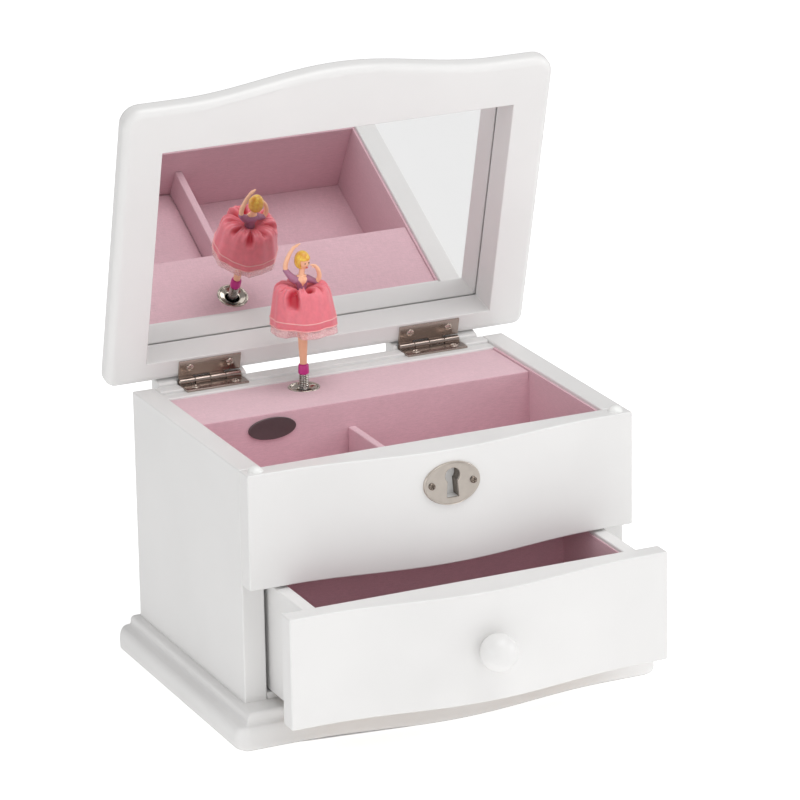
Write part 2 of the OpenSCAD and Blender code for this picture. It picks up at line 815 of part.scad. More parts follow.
knob_neck_r = 3.2;
knob_screw_r = 1.5;
knob_head_r = 3;
knob_face_y = front_y - wave_rise;
module knob_shank(deep) {
    rod_y([0, knob_face_y - knob_off + 1.5, drawer_mid_z], knob_screw_r,
        wave_rise + front_t + knob_off + deep);
}

module drawer_knob() {
    base_t = 1.4;
    color("white") at_drawer() difference() {
        translate([0, knob_face_y, drawer_mid_z]) rotate([90, 0, 0]) rotate_extrude() union() {
            intersection() {
                translate([0, knob_off]) circle(knob_r);
                square([knob_r + through, 2 * knob_off + through]);
            }
            square([knob_neck_r, knob_off]);
            square([knob_neck_r + 0.9, base_t]);
        }
        knob_shank(0);
    }
}

module knob_screw() {
    color("gray") at_drawer() difference() {
        union() {
            knob_shank(-1.5);
            rod_y([0, panel_y - touch, drawer_mid_z], knob_head_r, 0.4);
        }
        block([-knob_head_r, panel_y + 0.1, drawer_mid_z - 0.3],
            [knob_head_r, panel_y + 1, drawer_mid_z + 0.3]);
    }
}

// ---- Movement ----

module at_spindle(z) {
    translate([spindle[0], spindle[1], z]) children();
}

// Plate on the back panel, with a pedestal for the comb
module bedplate() {
    color("darkgray") difference() {
        union() {
            block([bed_left_x, bed_y, bed_low_z], [bed_right_x, back_in_y, upper_arm_z + arm_t]);
            block([comb_tip_x + comb_l - comb_base_l, spindle[1] + comb_t, comb_mid_z - comb_h / 2],
                [comb_tip_x + comb_l, bed_y, comb_mid_z + comb_h / 2]);
        }
        rod_y([spindle[0], bed_y - through, barrel_z], arbor_r + run_fit, bed_t + 2 * through);
        comb_screw_shanks();
        for (p = mount_screw_at) rod_y([p[0], bed_y - through, p[1]], mount_screw_r, bed_t + 2 * through);
        rod_y([fan_x, bed_y - through, fan_z], gov_arbor_r + run_fit, bed_t + 2 * through);
    }
}

comb_screw_r = 1;
comb_screw_z = comb_h * 0.3;
module comb_screw_shanks() {
    for (k = [-1:1]) rod_y([comb_tip_x + comb_l - comb_base_l / 2,
        spindle[1] - comb_t / 2, comb_mid_z + k * comb_screw_z], comb_screw_r, 6);
}

module comb() {
    root_x = comb_tip_x + comb_l - comb_base_l;
    color("lightgray") difference() {
        union() {
            for (i = [0:notes - 1]) translate([comb_tip_x, spindle[1] - comb_t / 2,
                comb_mid_z - comb_h / 2 + i * note_pitch]) cube([root_x - comb_tip_x + 1, comb_t / 2, note_w]);
            block([root_x, spindle[1] - comb_t / 2, comb_mid_z - comb_h / 2],
                [comb_tip_x + comb_l, spindle[1] + comb_t, comb_mid_z + comb_h / 2]);
        }
        comb_screw_shanks();
    }
}

module comb_screws() {
    color("gold") {
        comb_screw_shanks();
        for (k = [-1:1]) translate([comb_tip_x + comb_l - comb_base_l / 2, spindle[1] - comb_t / 2,
            comb_mid_z + k * comb_screw_z]) rotate([90, 0, 0]) cylinder(r = 1.7, h = 1);
    }
}

// Bridge over the barrel on two posts, which carries the front end of the arbor
module barrel_bridge() {
    color("darkgray") difference() {
        union() {
            for (side = [-1, 1])
                rod_y([spindle[0] + side * bridge_post_x, bridge_y, barrel_z], bridge_post_r, bed_y - bridge_y);
            block([spindle[0] - bridge_post_x, bridge_y, barrel_z - 2.5],
                [spindle[0] + bridge_post_x, bridge_y + bridge_t, barrel_z + 2.5]);
        }
        rod_y([spindle[0], bridge_y - through, barrel_z], arbor_r + run_fit, bridge_t + 2 * through);
    }
}

// C-shaped bracket that carries the cylinder's arbor and the top of the governor's
module cylinder_bracket() {
    color("darkgray") difference() {
        union() {
            block([spindle[0] - 4, bed_y - web_t, lower_arm_z], [spindle[0] + 4, bed_y, upper_arm_z + arm_t]);
            block([spindle[0] - 3, spindle[1] - arm_reach, lower_arm_z],
                [spindle[0] + 3, bed_y, lower_arm_z + arm_t]);
            block([gov[0] - 2.5, spindle[1] - arm_reach, upper_arm_z],
                [spindle[0] + 4, bed_y, upper_arm_z + arm_t]);
        }
        at_spindle(lower_arm_z - through) cylinder(r = arbor_thin_r + run_fit, h = case_h);
        translate([gov[0], gov[1], upper_arm_z - through])
            cylinder(r = gov_arbor_r + run_fit, h = arm_t + 2 * through);
    }
}

gov_finger_z = train_z - 2.6;
module governor_bracket() {
    foot_z = fan_z - fan_r - 2.8;
    color("darkgray") difference() {
        union() {
            block([fan_x - 2, bed_y - web_t, foot_z], [gov[0] + 2.3, bed_y, fan_z - 2]);
            block([gov[0] - 2.3, gov[1] - 2.3, gov_finger_z], [gov[0] + 2.3, bed_y, gov_finger_z + arm_t]);
            block([fan_x - 2, fan_post_y, foot_z], [fan_x + 2, bed_y, foot_z + arm_t]);
            block([fan_x - 2, fan_post_y, foot_z], [fan_x + 2, fan_post_y + arm_t, fan_z + 1.8]);
        }
        translate([gov[0], gov[1], gov_finger_z - through])
            cylinder(r = gov_arbor_r + run_fit, h = arm_t + 2 * through);
        rod_y([fan_x, fan_post_y - through, fan_z], gov_arbor_r + run_fit, arm_t + 2 * through);
    }
}

module mounting_screws() {
    color("silver") for (p = mount_screw_at) {
        rod_y([p[0], bed_y, p[1]], mount_screw_r, back_t + bed_t);
        translate([p[0], back_y, p[1]]) rotate([-90, 0, 0]) difference() {
            dome(2.6, 1.3);
            for (turn = [0, 90]) rotate([0, 0, turn]) translate([-1.3, -0.25, 0.5]) cube([2.6, 0.5, 1]);
        }
    }
}

// Butterfly key, screwed on the arbor's outer end
key_y = back_y + 1.5;
key_boss_l = 10;
module winding_key() {
    wing_t = 2;
    color("silver") difference() {
        union() {
            rod_y([spindle[0], key_y, barrel_z], 3, key_boss_l);
            translate([spindle[0], key_y + key_boss_l - 3, barrel_z - wing_t / 2]) linear_extrude(wing_t)
                for (side = [-1, 1]) hull() {
                    translate([side * (key_span / 2 - 5), 5]) circle(5);
                    square([5, 3], center = true);
                }
        }
        rod_y([spindle[0], key_y - through, barrel_z], arbor_r + 0.02, 7 + through);
    }
}

module winding_arbor() {
    color("gray") rod_y([spindle[0], bridge_y, barrel_z], arbor_r, key_y + 7 - bridge_y);
}

// Drum with the crown wheel that drives the cylinder's pinion
module spring_barrel() {
    wall = 0.8;
    disc_y = crown_y + tooth_down * crown_mod;
    root = (0.4 + 0.12) * crown_mod * PI / 2;
    tip = (0.4 - 0.14) * crown_mod * PI / 2;
    color("goldenrod") translate([spindle[0], 0, barrel_z]) difference() {
        union() {
            rod_y([0, disc_y - barrel_l, 0], barrel_r, barrel_l);
            rod_y([0, disc_y, 0], crown_r + crown_band / 2, 1.4);
            rod_y([0, disc_y, 0], 3, bed_y - disc_y - arm_gap);
            for (i = [0:crown_teeth - 1]) rotate([0, 360 * i / crown_teeth, 0])
                translate([0, disc_y, crown_r - crown_band / 2]) linear_extrude(crown_band)
                    polygon([[-root, 0.2], [-tip, -(tooth_up + tooth_down) * crown_mod],
                        [tip, -(tooth_up + tooth_down) * crown_mod], [root, 0.2]]);
        }
        rod_y([0, disc_y - barrel_l + wall, 0], barrel_r - wall, barrel_l - wall);
        rod_y([0, 0, 0], arbor_r + run_fit, back_y);
    }
}

// Ribbon wound from the arbor out to the drum's wall
module mainspring() {
    disc_y = crown_y + tooth_down * crown_mod;
    turns = 6;
    ribbon = 0.3;
    low = arbor_r + run_fit + 0.2;
    high = barrel_r - 0.8 - ribbon - touch;
    steps = [for (i = [0:24 * turns]) i / (24 * turns)];
    function at(t, side) = (low + (high - low) * t + side * ribbon) * [cos(360 * turns * t), sin(360 * turns * t)];
    color("steelblue") translate([spindle[0], disc_y - 0.6, barrel_z]) rotate([90, 0, 0])
        linear_extrude(barrel_l - 2)
            polygon(concat([for (t = steps) at(t, 1)], [for (i = [len(steps) - 1:-1:0]) at(steps[i], 0)]));
}

// Brass drum with rows of pins, and the wheel that drives the governor
module tune_cylinder() {
    pins_round = 4;
    color("gold") difference() {
        union() {
            at_spindle(cylinder_z) cylinder(r = cylinder_r, h = cylinder_l);
            at_spindle(cylinder_z + cylinder_l) cylinder(r = 3, h = train_z - cylinder_z - cylinder_l);
            at_spindle(train_z) linear_extrude(train_wheel_t) polygon(gear(train_teeth, train_mod));
            for (i = [0:notes - 1]) for (k = [0:pins_round - 1])
                at_spindle(comb_mid_z - comb_h / 2 + i * note_pitch + note_w / 2)
                    rotate([0, 90, 20 + k * 86 + (i * 47) % 70])
                        translate([0, 0, cylinder_r - 0.3]) cylinder(r = 0.2, h = pin_out + 0.3);
        }
        at_spindle(cylinder_z - through) cylinder(r = arbor_thin_r, h = case_h);
    }
}

module cylinder_arbor() {
    color("gray") {
        at_spindle(pinion_z) cylinder(r = arbor_thin_r, h = spindle_tip_z - pinion_z);
        at_spindle(pinion_z) linear_extrude(pinion_h) rotate([0, 0, 90 - 180 / pinion_teeth])
            polygon(gear(pinion_teeth, crown_mod));
        at_spindle(upper_arm_z + arm_t + arm_gap)
            cylinder(r = spring_r, h = spindle_tip_z - upper_arm_z - arm_t - arm_gap);
    }
}

module governor_wheel() {
    color("gold") translate([gov[0], gov[1], 0]) {
        translate([0, 0, gov_finger_z - 0.3]) cylinder(r = gov_arbor_r, h = upper_arm_z + arm_t - gov_finger_z);
        translate([0, 0, train_z - 0.2]) linear_extrude(train_wheel_t + 0.4)
            rotate([0, 0, 180 / gov_teeth]) polygon(gear(gov_teeth, train_mod));
        translate([0, 0, worm_wheel_z]) linear_extrude(worm_wheel_t) polygon(gear(worm_teeth, worm_mod));
    }
}

// Worm shaft with the two-bladed air brake
module fan_worm() {
    color("silver") translate([fan_x, 0, fan_z]) {
        rod_y([0, fan_post_y, 0], gov_arbor_r, back_in_y - 0.4 - fan_post_y);
        rod_y([0, gov[1] - worm_l / 2, 0], worm_r, worm_l);
        block([-fan_r, fan_post_y + arm_t + fan_off, -0.25],
            [fan_r, fan_post_y + arm_t + fan_off + fan_l, 0.25]);
    }
}

// ---- Dancer ----

// Close-wound coil between the spindle and the shoe, round-ended where it bends
module dancer_spring() {
    wire = 0.4;
    groove = 0.15;
    h = sole_z - pivot_z;
    turns = floor(h / wire);
    color("silver") at_spindle(pivot_z) {
        rotate_extrude() polygon(concat([[0, 0]],
            [for (i = [0:turns - 1]) for (p = [[groove, 0], [0, 0.5]]) [spring_r - p[0], (i + p[1]) * wire]],
            [[spring_r - groove, turns * wire], [spring_r - groove, h], [0, h]]));
        rotate_extrude() intersection() {
            circle(spring_r);
            translate([0, -spring_r]) square([spring_r, spring_r]);
        }
    }
}

module dancer_shoe() {
    color("mediumvioletred") at_spindle(sole_z) rotate_extrude()
        polygon([[0, 0], [shoe_r, 0], [shoe_r, shoe_h - 0.5], [shoe_r - 0.4, shoe_h], [0, shoe_h]]);
}

// Moulded figure: one leg, body, neck and head turned, arms as joined balls
facing = 16;
module dancer_figure() {
    hip_r = 2.6;
    hip_drop = 5;
    body_r = 1.9;
    chest_r = 2.6;
    chest_up = 3;
    shoulder_up = 4.4;
    neck_up = 5.2;
    neck_r = 0.95;
    head_r = 3.1;
    head_drop = 7.4;
    head_z = dancer_h - head_drop;
    arm_up = 3.7;
    elbow_up = [7.6, 2.6];
    hand_up = 8.2;
    raised_hand_drop = 0.7;
    color("peachpuff") at_spindle(sole_z) rotate([0, 0, facing]) {
        rotate_extrude() polygon([[0, shoe_h], [leg_r, shoe_h], [leg_r + 0.55, hem_h], [hip_r, waist_h - hip_drop],
            [body_r, waist_h - 0.6], [body_r, waist_h + 0.6], [chest_r, waist_h + chest_up],
            [chest_r - 0.3, waist_h + shoulder_up], [neck_r, waist_h + neck_up], [neck_r, head_z],
            [0, head_z]]);
        translate([0, 0, head_z]) sphere(head_r);
        arm([[0.1 - chest_r, 0, waist_h + arm_up], [-6.4, 0.8, waist_h + elbow_up[0]],
            [-2, -0.2, dancer_h - raised_hand_drop]]);
        arm([[chest_r, 0, waist_h + arm_up], [5.9, -1.6, waist_h + elbow_up[1]],
            [3.2, -2.6, waist_h + hand_up]]);
    }
}

// Arm through a shoulder, an elbow and a hand
module arm(points) {
    for (i = [0:1]) hull() {
        translate(points[i]) sphere(0.9 - 0.1 * i, $fn = 16);
        translate(points[i + 1]) sphere(0.8 - 0.1 * i, $fn = 16);
    }
}

module dancer_skirt() {
    hole_r = 3;
    drop = waist_h - hem_h;
    color("lightcoral") at_spindle(sole_z) rotate_extrude() polygon([[hole_r, hem_h],
        [skirt_r, hem_h], [skirt_r * 0.97, hem_h + drop * 0.3], [skirt_r * 0.93, hem_h + drop * 0.6],
        [skirt_r * 0.87, hem_h + drop * 0.85], [skirt_r * 0.78, hem_h + drop],
        [skirt_r * 0.6, waist_h + 1.4], [hole_r + 1, waist_h + 0.8], [hole_r, waist_h]]);
}

base_felt();
base_moulding();
bottom_panel();
side_panel_left();
side_panel_right();
back_panel();
hinge_rail();
lid_stop_blocks();
front_panel();
escutcheon();
escutcheon_pins();
rim_bumpers();
tray_floor();
movement_wall();
platform();
spindle_ring();
name_plate();
tray_divider();
raised_floor();
lining_sides();
lining_front();
lining_back();
lining_floor();
lower_hinge_leaves();
hinge_pins();
lower_hinge_screws();
bedplate();
comb();
comb_screws();
barrel_bridge();
cylinder_bracket();
governor_bracket();
mounting_screws();
lid_frame();
lid_top_panel();
mirror_glass();
mirror_backing();
upper_hinge_leaves();
upper_hinge_screws();
drawer_front();
drawer_sides();
drawer_back();
drawer_bottom();
drawer_lining();
drawer_knob();
knob_screw();
winding_key();
winding_arbor();
spring_barrel();
mainspring();
tune_cylinder();
cylinder_arbor();
governor_wheel();
fan_worm();
dancer_spring();
dancer_figure();
dancer_skirt();
dancer_shoe();
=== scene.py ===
"""Dresses the solids of a wind-up music box: a finish for every surface, eased edges, and the dancer,
its cloth skirt, the spring and the small turned parts as modelled meshes. Lengths are in metres, apart
from the dancer's own, which are in millimetres from the point under its sole."""

import json
import math

import bmesh
import bpy
from bpy.props import FloatProperty, FloatVectorProperty, IntProperty, PointerProperty
from mathutils import Matrix, Vector


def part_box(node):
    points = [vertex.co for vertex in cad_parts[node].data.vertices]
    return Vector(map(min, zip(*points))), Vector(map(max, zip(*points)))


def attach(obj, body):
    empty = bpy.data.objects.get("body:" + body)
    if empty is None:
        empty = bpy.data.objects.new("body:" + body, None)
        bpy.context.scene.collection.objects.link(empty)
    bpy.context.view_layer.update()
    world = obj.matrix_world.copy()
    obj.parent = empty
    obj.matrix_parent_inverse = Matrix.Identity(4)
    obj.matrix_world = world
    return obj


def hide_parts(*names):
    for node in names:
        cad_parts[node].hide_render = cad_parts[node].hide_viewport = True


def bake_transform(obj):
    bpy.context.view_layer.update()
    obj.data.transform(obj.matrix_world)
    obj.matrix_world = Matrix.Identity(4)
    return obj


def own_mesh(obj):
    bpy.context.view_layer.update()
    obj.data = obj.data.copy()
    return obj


bl_info = {
    "name": "Music Box Dresser",
    "version": (1, 0, 0),
    "blender": (4, 5, 0),
    "location": "View3D > Sidebar > Music Box",
    "description": "Finishes, cloth and dancer of a wind-up music box",
    "category": "Object",
}

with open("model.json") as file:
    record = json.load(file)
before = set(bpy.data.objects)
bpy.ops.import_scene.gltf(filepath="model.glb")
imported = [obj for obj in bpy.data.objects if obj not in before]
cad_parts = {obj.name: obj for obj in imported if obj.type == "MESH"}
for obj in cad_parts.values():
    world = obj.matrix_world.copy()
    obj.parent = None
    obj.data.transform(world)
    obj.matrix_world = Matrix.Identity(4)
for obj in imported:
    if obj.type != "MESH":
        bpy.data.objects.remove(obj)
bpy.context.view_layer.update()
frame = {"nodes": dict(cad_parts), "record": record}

MM = 0.001
FULL_TURN = 2 * math.pi
QUARTER_TURN = math.pi / 2
SAME_CORNER = 0.002 * MM  # corners of a solid that are closer than this are one
SAME_POINT = 0.001 * MM  # and so are points of a shape that is made here


def tone(*shade):
    """Linear colour of a shade given as it looks on a screen: red, green and blue from 0 to 255."""
    return tuple(c / 255 / 12.92 if c < 11 else ((c / 255 + 0.055) / 1.055) ** 2.4 for c in shade)


def clamped(value):
    """A number held between 0 and 1."""
    return min(max(value, 0.0), 1.0)


def corners(node):
    """Lowest and highest corner of a solid."""
    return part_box(node)


def foot_of(node):
    """The middle of a solid's underside."""
    low, high = corners(node)
    at = (low + high) / 2
    return Vector((at.x, at.y, low.z))


def in_outline(at, low, high):
    """Whether a point lies between two corners, as seen from the front."""
    return low.x < at.x < high.x and low.z < at.z < high.z


# ---- Settings ----


def length(name, description, default):
    return FloatProperty(name=name, description=description, default=default, min=0, unit="LENGTH",
                         subtype="DISTANCE")


def angle(name, description, degrees):
    return FloatProperty(name=name, description=description, default=math.radians(degrees), unit="ROTATION",
                         subtype="ANGLE")


def colour(name, description, shade):
    return FloatVectorProperty(name=name, description=description, default=tone(*shade), size=3, min=0, max=1,
                               subtype="COLOR")


def power(name, lamp, watts):
    return FloatProperty(name=name, description=f"Power of the {lamp} in watts", default=watts, min=0,
                         unit="POWER")


class MusicBoxFinishes(bpy.types.PropertyGroup):
    """Colours and wear of the finishes."""

    lacquer: colour("Lacquer", "Colour of the satin white lacquer", (230, 229, 228))
    cloth: colour("Lining", "Colour of the lining cloth", (223, 184, 194))
    escutcheon: colour("Escutcheon", "Colour of the satin nickel", (205, 196, 187))
    hinge: colour("Hinges", "Colour of the dark nickel", (174, 160, 152))
    satin: colour("Skirt", "Colour of the skirt's satin", (236, 122, 134))
    skin: colour("Skin", "Colour of the figure", (255, 194, 158))
    hair: colour("Hair", "Colour of the hair", (240, 200, 78))
    bodice: colour("Bodice", "Colour of the bodice and sleeves", (172, 118, 146))
    ferrule: colour("Ferrule", "Colour of the shoe", (206, 52, 140))
    wood_ease: length("Wood edges", "Radius that the lacquered edges are eased to", 0.6 * MM)
    metal_ease: length("Metal edges", "Radius that the metal edges are eased to", 0.12 * MM)


class MusicBoxDancer(bpy.types.PropertyGroup):
    """Pose and skirt of the dancer."""

    facing: angle("Facing", "Direction the body faces, to the right of the front", -3)
    gaze: angle("Gaze", "How far the head is turned to the right of the body", 24)
    head: length("Head", "Half the height of the head", 3.45 * MM)
    folds: IntProperty(name="Folds", description="Large folds round the skirt", default=7, min=5, max=16)
    gathers: IntProperty(name="Gathers", description="Small gathers at the waist", default=31, min=12, max=48)
    wire: length("Spring wire", "Thickness of the spring's wire", 0.58 * MM)


class MusicBoxStage(bpy.types.PropertyGroup):
    """Camera and lamps."""

    azimuth: angle("Azimuth", "Camera's turn round the box, from straight in front", -24.79)
    elevation: angle("Elevation", "Camera's height angle", 18.51)
    roll: angle("Roll", "Camera's tilt", -0.98)
    distance: length("Distance", "Camera's distance from its target", 1.732)
    focal: FloatProperty(name="Focal length", description="Camera's focal length in millimetres",
                         default=215.77, min=20, max=400)
    target: FloatVectorProperty(name="Target", description="Point the camera looks at",
                                default=(7.91 * MM, 0, 99.69 * MM), size=3, unit="LENGTH", subtype="XYZ")
    over: power("Top lamp", "large lamp overhead", 10.4)
    right: power("Right lamp", "lamp on the right", 4.2)
    front: power("Front lamp", "large lamp in front", 3.4)
    left: power("Left lamp", "low lamp on the left", 3.2)
    sky: FloatProperty(name="Sky", description="Strength of the even light round the box", default=0.42,
                       min=0)


# ---- Shader maths ----


class Value:
    """A socket that takes part in arithmetic: each operator adds a Math node."""

    def __init__(self, finish, socket):
        self.finish = finish
        self.socket = socket

    def maths(self, operation, *values):
        return self.finish.node("ShaderNodeMath", {"operation": operation}, dict(enumerate(values)))

    def __add__(self, other):
        return self.maths("ADD", self, other)

    def __radd__(self, other):
        return self.maths("ADD", other, self)

    def __sub__(self, other):
        return self.maths("SUBTRACT", self, other)

    def __rsub__(self, other):
        return self.maths("SUBTRACT", other, self)

    def __mul__(self, other):
        return self.maths("MULTIPLY", self, other)

    def __rmul__(self, other):
        return self.maths("MULTIPLY", other, self)


class Finish:
    """A material built round one Principled shader."""

    def __init__(self, name, constants=None):
        self.material = bpy.data.materials.new(name)
        self.material.use_nodes = True
        self.tree = self.material.node_tree
        self.shader = self.tree.nodes["Principled BSDF"]
        for socket, value in (constants or {}).items():
            self.shader.inputs[socket].default_value = value
        self.place = self.node("ShaderNodeTexCoord", output="Object")

    def node(self, kind, settings=None, inputs=None, output=0):
        """Adds a node, sets its settings first and then its sockets' values or links."""
        made = self.tree.nodes.new(kind)
        for name, value in (settings or {}).items():
            setattr(made, name, value)
        for name, value in (inputs or {}).items():
            if isinstance(value, Value):
                self.tree.links.new(value.socket, made.inputs[name])
            else:
                made.inputs[name].default_value = value
        return Value(self, made.outputs[output])

    def noise(self, size, detail=2.0, stretch=(1, 1, 1), where=None):
        """Noise whose features measure about that many metres, drawn out by stretch."""
        scale = tuple(1 / (size * s) for s in stretch)
        moved = self.node("ShaderNodeMapping", None, {"Vector": where or self.place, "Scale": scale})
        return self.node("ShaderNodeTexNoise", None, {"Vector": moved, "Scale": 1.0, "Detail": detail})

    def ramp(self, value, low, high):
        """Grey that runs from 0 at low to 1 at high."""
        return self.node("ShaderNodeMapRange", None, {"Value": value, "From Min": low, "From Max": high})

    def mix(self, factor, *shades):
        """The first colour where the factor is 0 and the second where it is 1."""
        first, second = (s if isinstance(s, Value) else (*s, 1) for s in shades)
        return self.node("ShaderNodeMix", {"data_type": "RGBA"}, {0: factor, 6: first, 7: second}, 2)

    def feed(self, socket, value):
        self.tree.links.new(value.socket, self.shader.inputs[socket])

    def surface(self, shade, roughness):
        """Feeds the two sockets that change over every surface."""
        self.feed("Base Color", shade)
        self.feed("Roughness", roughness)

    def bump(self, height, strength, depth):
        inputs = {"Height": height, "Strength": strength, "Distance": depth}
        self.feed("Normal", self.node("ShaderNodeBump", None, inputs))


def shaded(shade, factor):
    """A colour made lighter or darker."""
    return tuple(min(1.0, c * factor) for c in shade)


# ---- Finishes ----


def white_lacquer(finishes):
    paint = Finish("white_lacquer", {"Coat Weight": 0.2, "Coat Roughness": 0.18, "IOR": 1.48})
    base = finishes.lacquer
    cloud = paint.noise(45 * MM, 3)
    peel = paint.noise(1.1 * MM, 2)
    dust = paint.noise(0.25 * MM, 1)
    grain = paint.noise(1.6 * MM, 3, (14, 1, 1))
    shade = paint.mix(paint.ramp(cloud, 0.35, 0.65), shaded(base, 0.975), shaded(base, 1.01))
    paint.surface(shade, 0.3 + 0.1 * cloud + 0.06 * peel)
    paint.bump(peel * 0.55 + dust * 0.15 + grain * 0.3, strength=0.12, depth=0.12 * MM)
    return paint


def lining_cloth(finishes):
    cloth = Finish("lining_cloth", {"Sheen Weight": 0.4, "Sheen Roughness": 0.5, "IOR": 1.4})
    base = finishes.cloth
    fibre = cloth.noise(0.22 * MM, 4)
    hair = cloth.noise(0.3 * MM, 3, (7, 1, 1))
    across = cloth.noise(0.3 * MM, 3, (1, 7, 1))
    cloud = cloth.noise(14 * MM, 4)
    mixed = hair * 0.4 + across * 0.3 + fibre * 0.3
    flecked = cloth.mix(cloth.ramp(mixed, 0.36, 0.64), shaded(base, 0.88), shaded(base, 1.1))
    shade = cloth.mix(cloth.ramp(cloud, 0.3, 0.7) * 0.3, flecked, shaded(base, 0.9))
    cloth.surface(shade, 0.82 + 0.12 * fibre)
    cloth.bump(mixed, strength=0.45, depth=0.16 * MM)
    return cloth


def metal(name, shade, rough, brushed=(1, 1, 1), mottle=0.04, grain=0.22 * MM):
    """A bare or plated metal with fine brushing and a little mottling."""
    plate = Finish(name, {"Metallic": 1.0})
    lines = plate.noise(grain, 3, brushed)
    cloud = plate.noise(3 * MM, 3)
    worn = plate.mix(plate.ramp(cloud, 0.35, 0.7), shaded(shade, 1 - mottle), shaded(shade, 1 + mottle))
    plate.surface(worn, rough - 0.04 + 0.06 * lines + 0.04 * cloud)
    plate.bump(lines, strength=0.04, depth=0.02 * MM)
    return plate


def mirror_silver():
    silver = Finish("mirror_silver", {"Metallic": 1.0})
    haze = silver.noise(22 * MM, 3)
    bright = tone(251, 251, 251)
    silver.surface(silver.mix(haze, shaded(bright, 0.985), bright), silver.ramp(haze, 0.55, 0.9) * 0.012)
    return silver


def foot_felt():
    felt = Finish("foot_felt", {"Sheen Weight": 0.3})
    fibre = felt.noise(0.4 * MM, 4)
    felt.surface(felt.mix(fibre, tone(186, 184, 180), tone(212, 210, 206)), 0.9 + 0.08 * fibre)
    felt.bump(fibre, strength=0.6, depth=0.3 * MM)
    return felt


def bare_board():
    board = Finish("bare_board")
    grain = board.noise(1.2 * MM, 4, (22, 1, 1))
    fleck = board.noise(0.4 * MM, 2)
    shade = board.mix(board.ramp(grain, 0.3, 0.7), tone(165, 124, 84), tone(205, 168, 122))
    board.surface(shade, 0.6 + 0.2 * fleck)
    board.bump(grain * 0.6 + fleck * 0.4, strength=0.3, depth=0.15 * MM)
    return board


def clear_pad():
    pad = Finish("clear_pad", {"IOR": 1.4, "Coat Weight": 0.15})
    cloud = pad.noise(1.5 * MM, 2)
    pad.surface(pad.mix(cloud, tone(232, 233, 231), tone(240, 240, 238)), 0.22 + 0.15 * cloud)
    return pad


def moulded(name, shade, rough, spread=0.07, size=1.2 * MM):
    """Painted or moulded plastic with slight blotches and a dimpled skin."""
    paint = Finish(name, {"IOR": 1.46, "Coat Weight": 0.15})
    blotch = paint.noise(size, 3)
    dimple = paint.noise(0.25 * MM, 2)
    mottled = paint.mix(blotch, shaded(shade, 1 - spread), shaded(shade, 1 + spread))
    paint.surface(mottled, rough + 0.12 * dimple)
    paint.bump(dimple, strength=0.15, depth=0.05 * MM)
    return paint


def satin_cloth(finishes):
    satin = Finish("skirt_satin", {"Sheen Weight": 0.3, "Sheen Roughness": 0.3, "Coat Weight": 0.35,
                                   "Coat Roughness": 0.3, "IOR": 1.45, "Subsurface Weight": 0.12,
                                   "Subsurface Scale": 0.8 * MM})
    base = finishes.satin
    around = satin.node("ShaderNodeUVMap", {"uv_map": "cut"})
    thread = satin.noise(0.1 * MM, 2, (1, 12, 1), around)
    crush = satin.noise(1.9 * MM, 3, (1, 1.3, 1), around)
    weave = thread * 0.5 + crush * 0.5
    lit = satin.mix(satin.ramp(crush, 0.3, 0.7), shaded(base, 0.93), shaded(base, 1.06))
    # painted shade: deep reads how far into a tuck the cloth lies, from the fold layer
    deep = satin.node("ShaderNodeAttribute", {"attribute_name": "fold"}, None, "Fac")
    worn = satin.mix(satin.ramp(thread, 0.3, 0.7) * 0.25, lit, shaded(base, 1.25))
    # the tucks are pulled towards a dark red, as painted shade
    satin.surface(satin.mix(satin.ramp(deep, 0.15, 1.0), worn, tone(196, 48, 66)), 0.34 + 0.2 * crush)
    satin.bump(weave, strength=0.5, depth=0.2 * MM)
    return satin


def net_cloth(finishes):
    """Tulle: a mesh of fine strands that is clearer between them."""
    net = Finish("skirt_net", {"Sheen Weight": 0.6, "IOR": 1.4})
    around = net.node("ShaderNodeUVMap", {"uv_map": "cut"})
    hole = 0.34 * MM
    mesh = net.node("ShaderNodeTexVoronoi", {"feature": "DISTANCE_TO_EDGE"},
                    {"Vector": around, "Scale": 1 / hole}, "Distance")
    strand = 1 - net.ramp(mesh, 0.05, 0.16)
    shade = net.mix(strand, shaded(finishes.satin, 1.15), tone(250, 226, 224))
    net.surface(shade, 0.45 + 0.2 * strand)
    net.feed("Alpha", 0.36 + 0.3 * strand)
    return net


def hair_paint(finishes):
    hair = Finish("hair_paint", {"Coat Weight": 0.3, "Coat Roughness": 0.25})
    base = finishes.hair
    strand = hair.noise(0.3 * MM, 3, (1, 1, 14))
    cloud = hair.noise(1.6 * MM, 2)
    lit = hair.mix(hair.ramp(strand, 0.3, 0.7), shaded(base, 0.84), shaded(base, 1.12))
    hair.surface(hair.mix(hair.ramp(cloud, 0.4, 0.65), tone(222, 158, 58), lit), 0.3 + 0.15 * strand)
    hair.bump(strand, strength=0.3, depth=0.1 * MM)
    return hair


# ---- Pieces ----


def finished(name, shape, finish, body, nodes=(), smooth=40, modifiers=()):
    """Makes a shape an object that rides on a body and stands for the named solids."""
    mesh = bpy.data.meshes.new(name)
    shape.to_mesh(mesh)
    shape.free()
    mesh.shade_smooth()
    mesh.set_sharp_from_angle(angle=math.radians(smooth))
    piece = bpy.data.objects.new(name, mesh)
    bpy.context.scene.collection.objects.link(piece)
    mesh.materials.append(finish.material)
    for kind, settings in modifiers:
        modifier = piece.modifiers.new(kind.title(), kind)
        for key, value in settings.items():
            setattr(modifier, key, value)
    if body:
        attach(piece, body)
    if nodes:
        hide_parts(*nodes)
    return piece


def body_of(node):
    """The body that a solid belongs to."""
    return next(b for b, names in frame["record"]["behaviour"]["bodies"].items() if node in names)


def slot_of(node):
    """The material slot that a solid takes its finish from."""
    return next(s["material_slot"] for s in frame["record"]["subparts"] if s["node"] == node)


def coat(node, finish):
    """Gives a solid that stays as it is its finish."""
    slots = frame["nodes"][node].data.materials
    slots.clear()
    slots.append(finish.material)


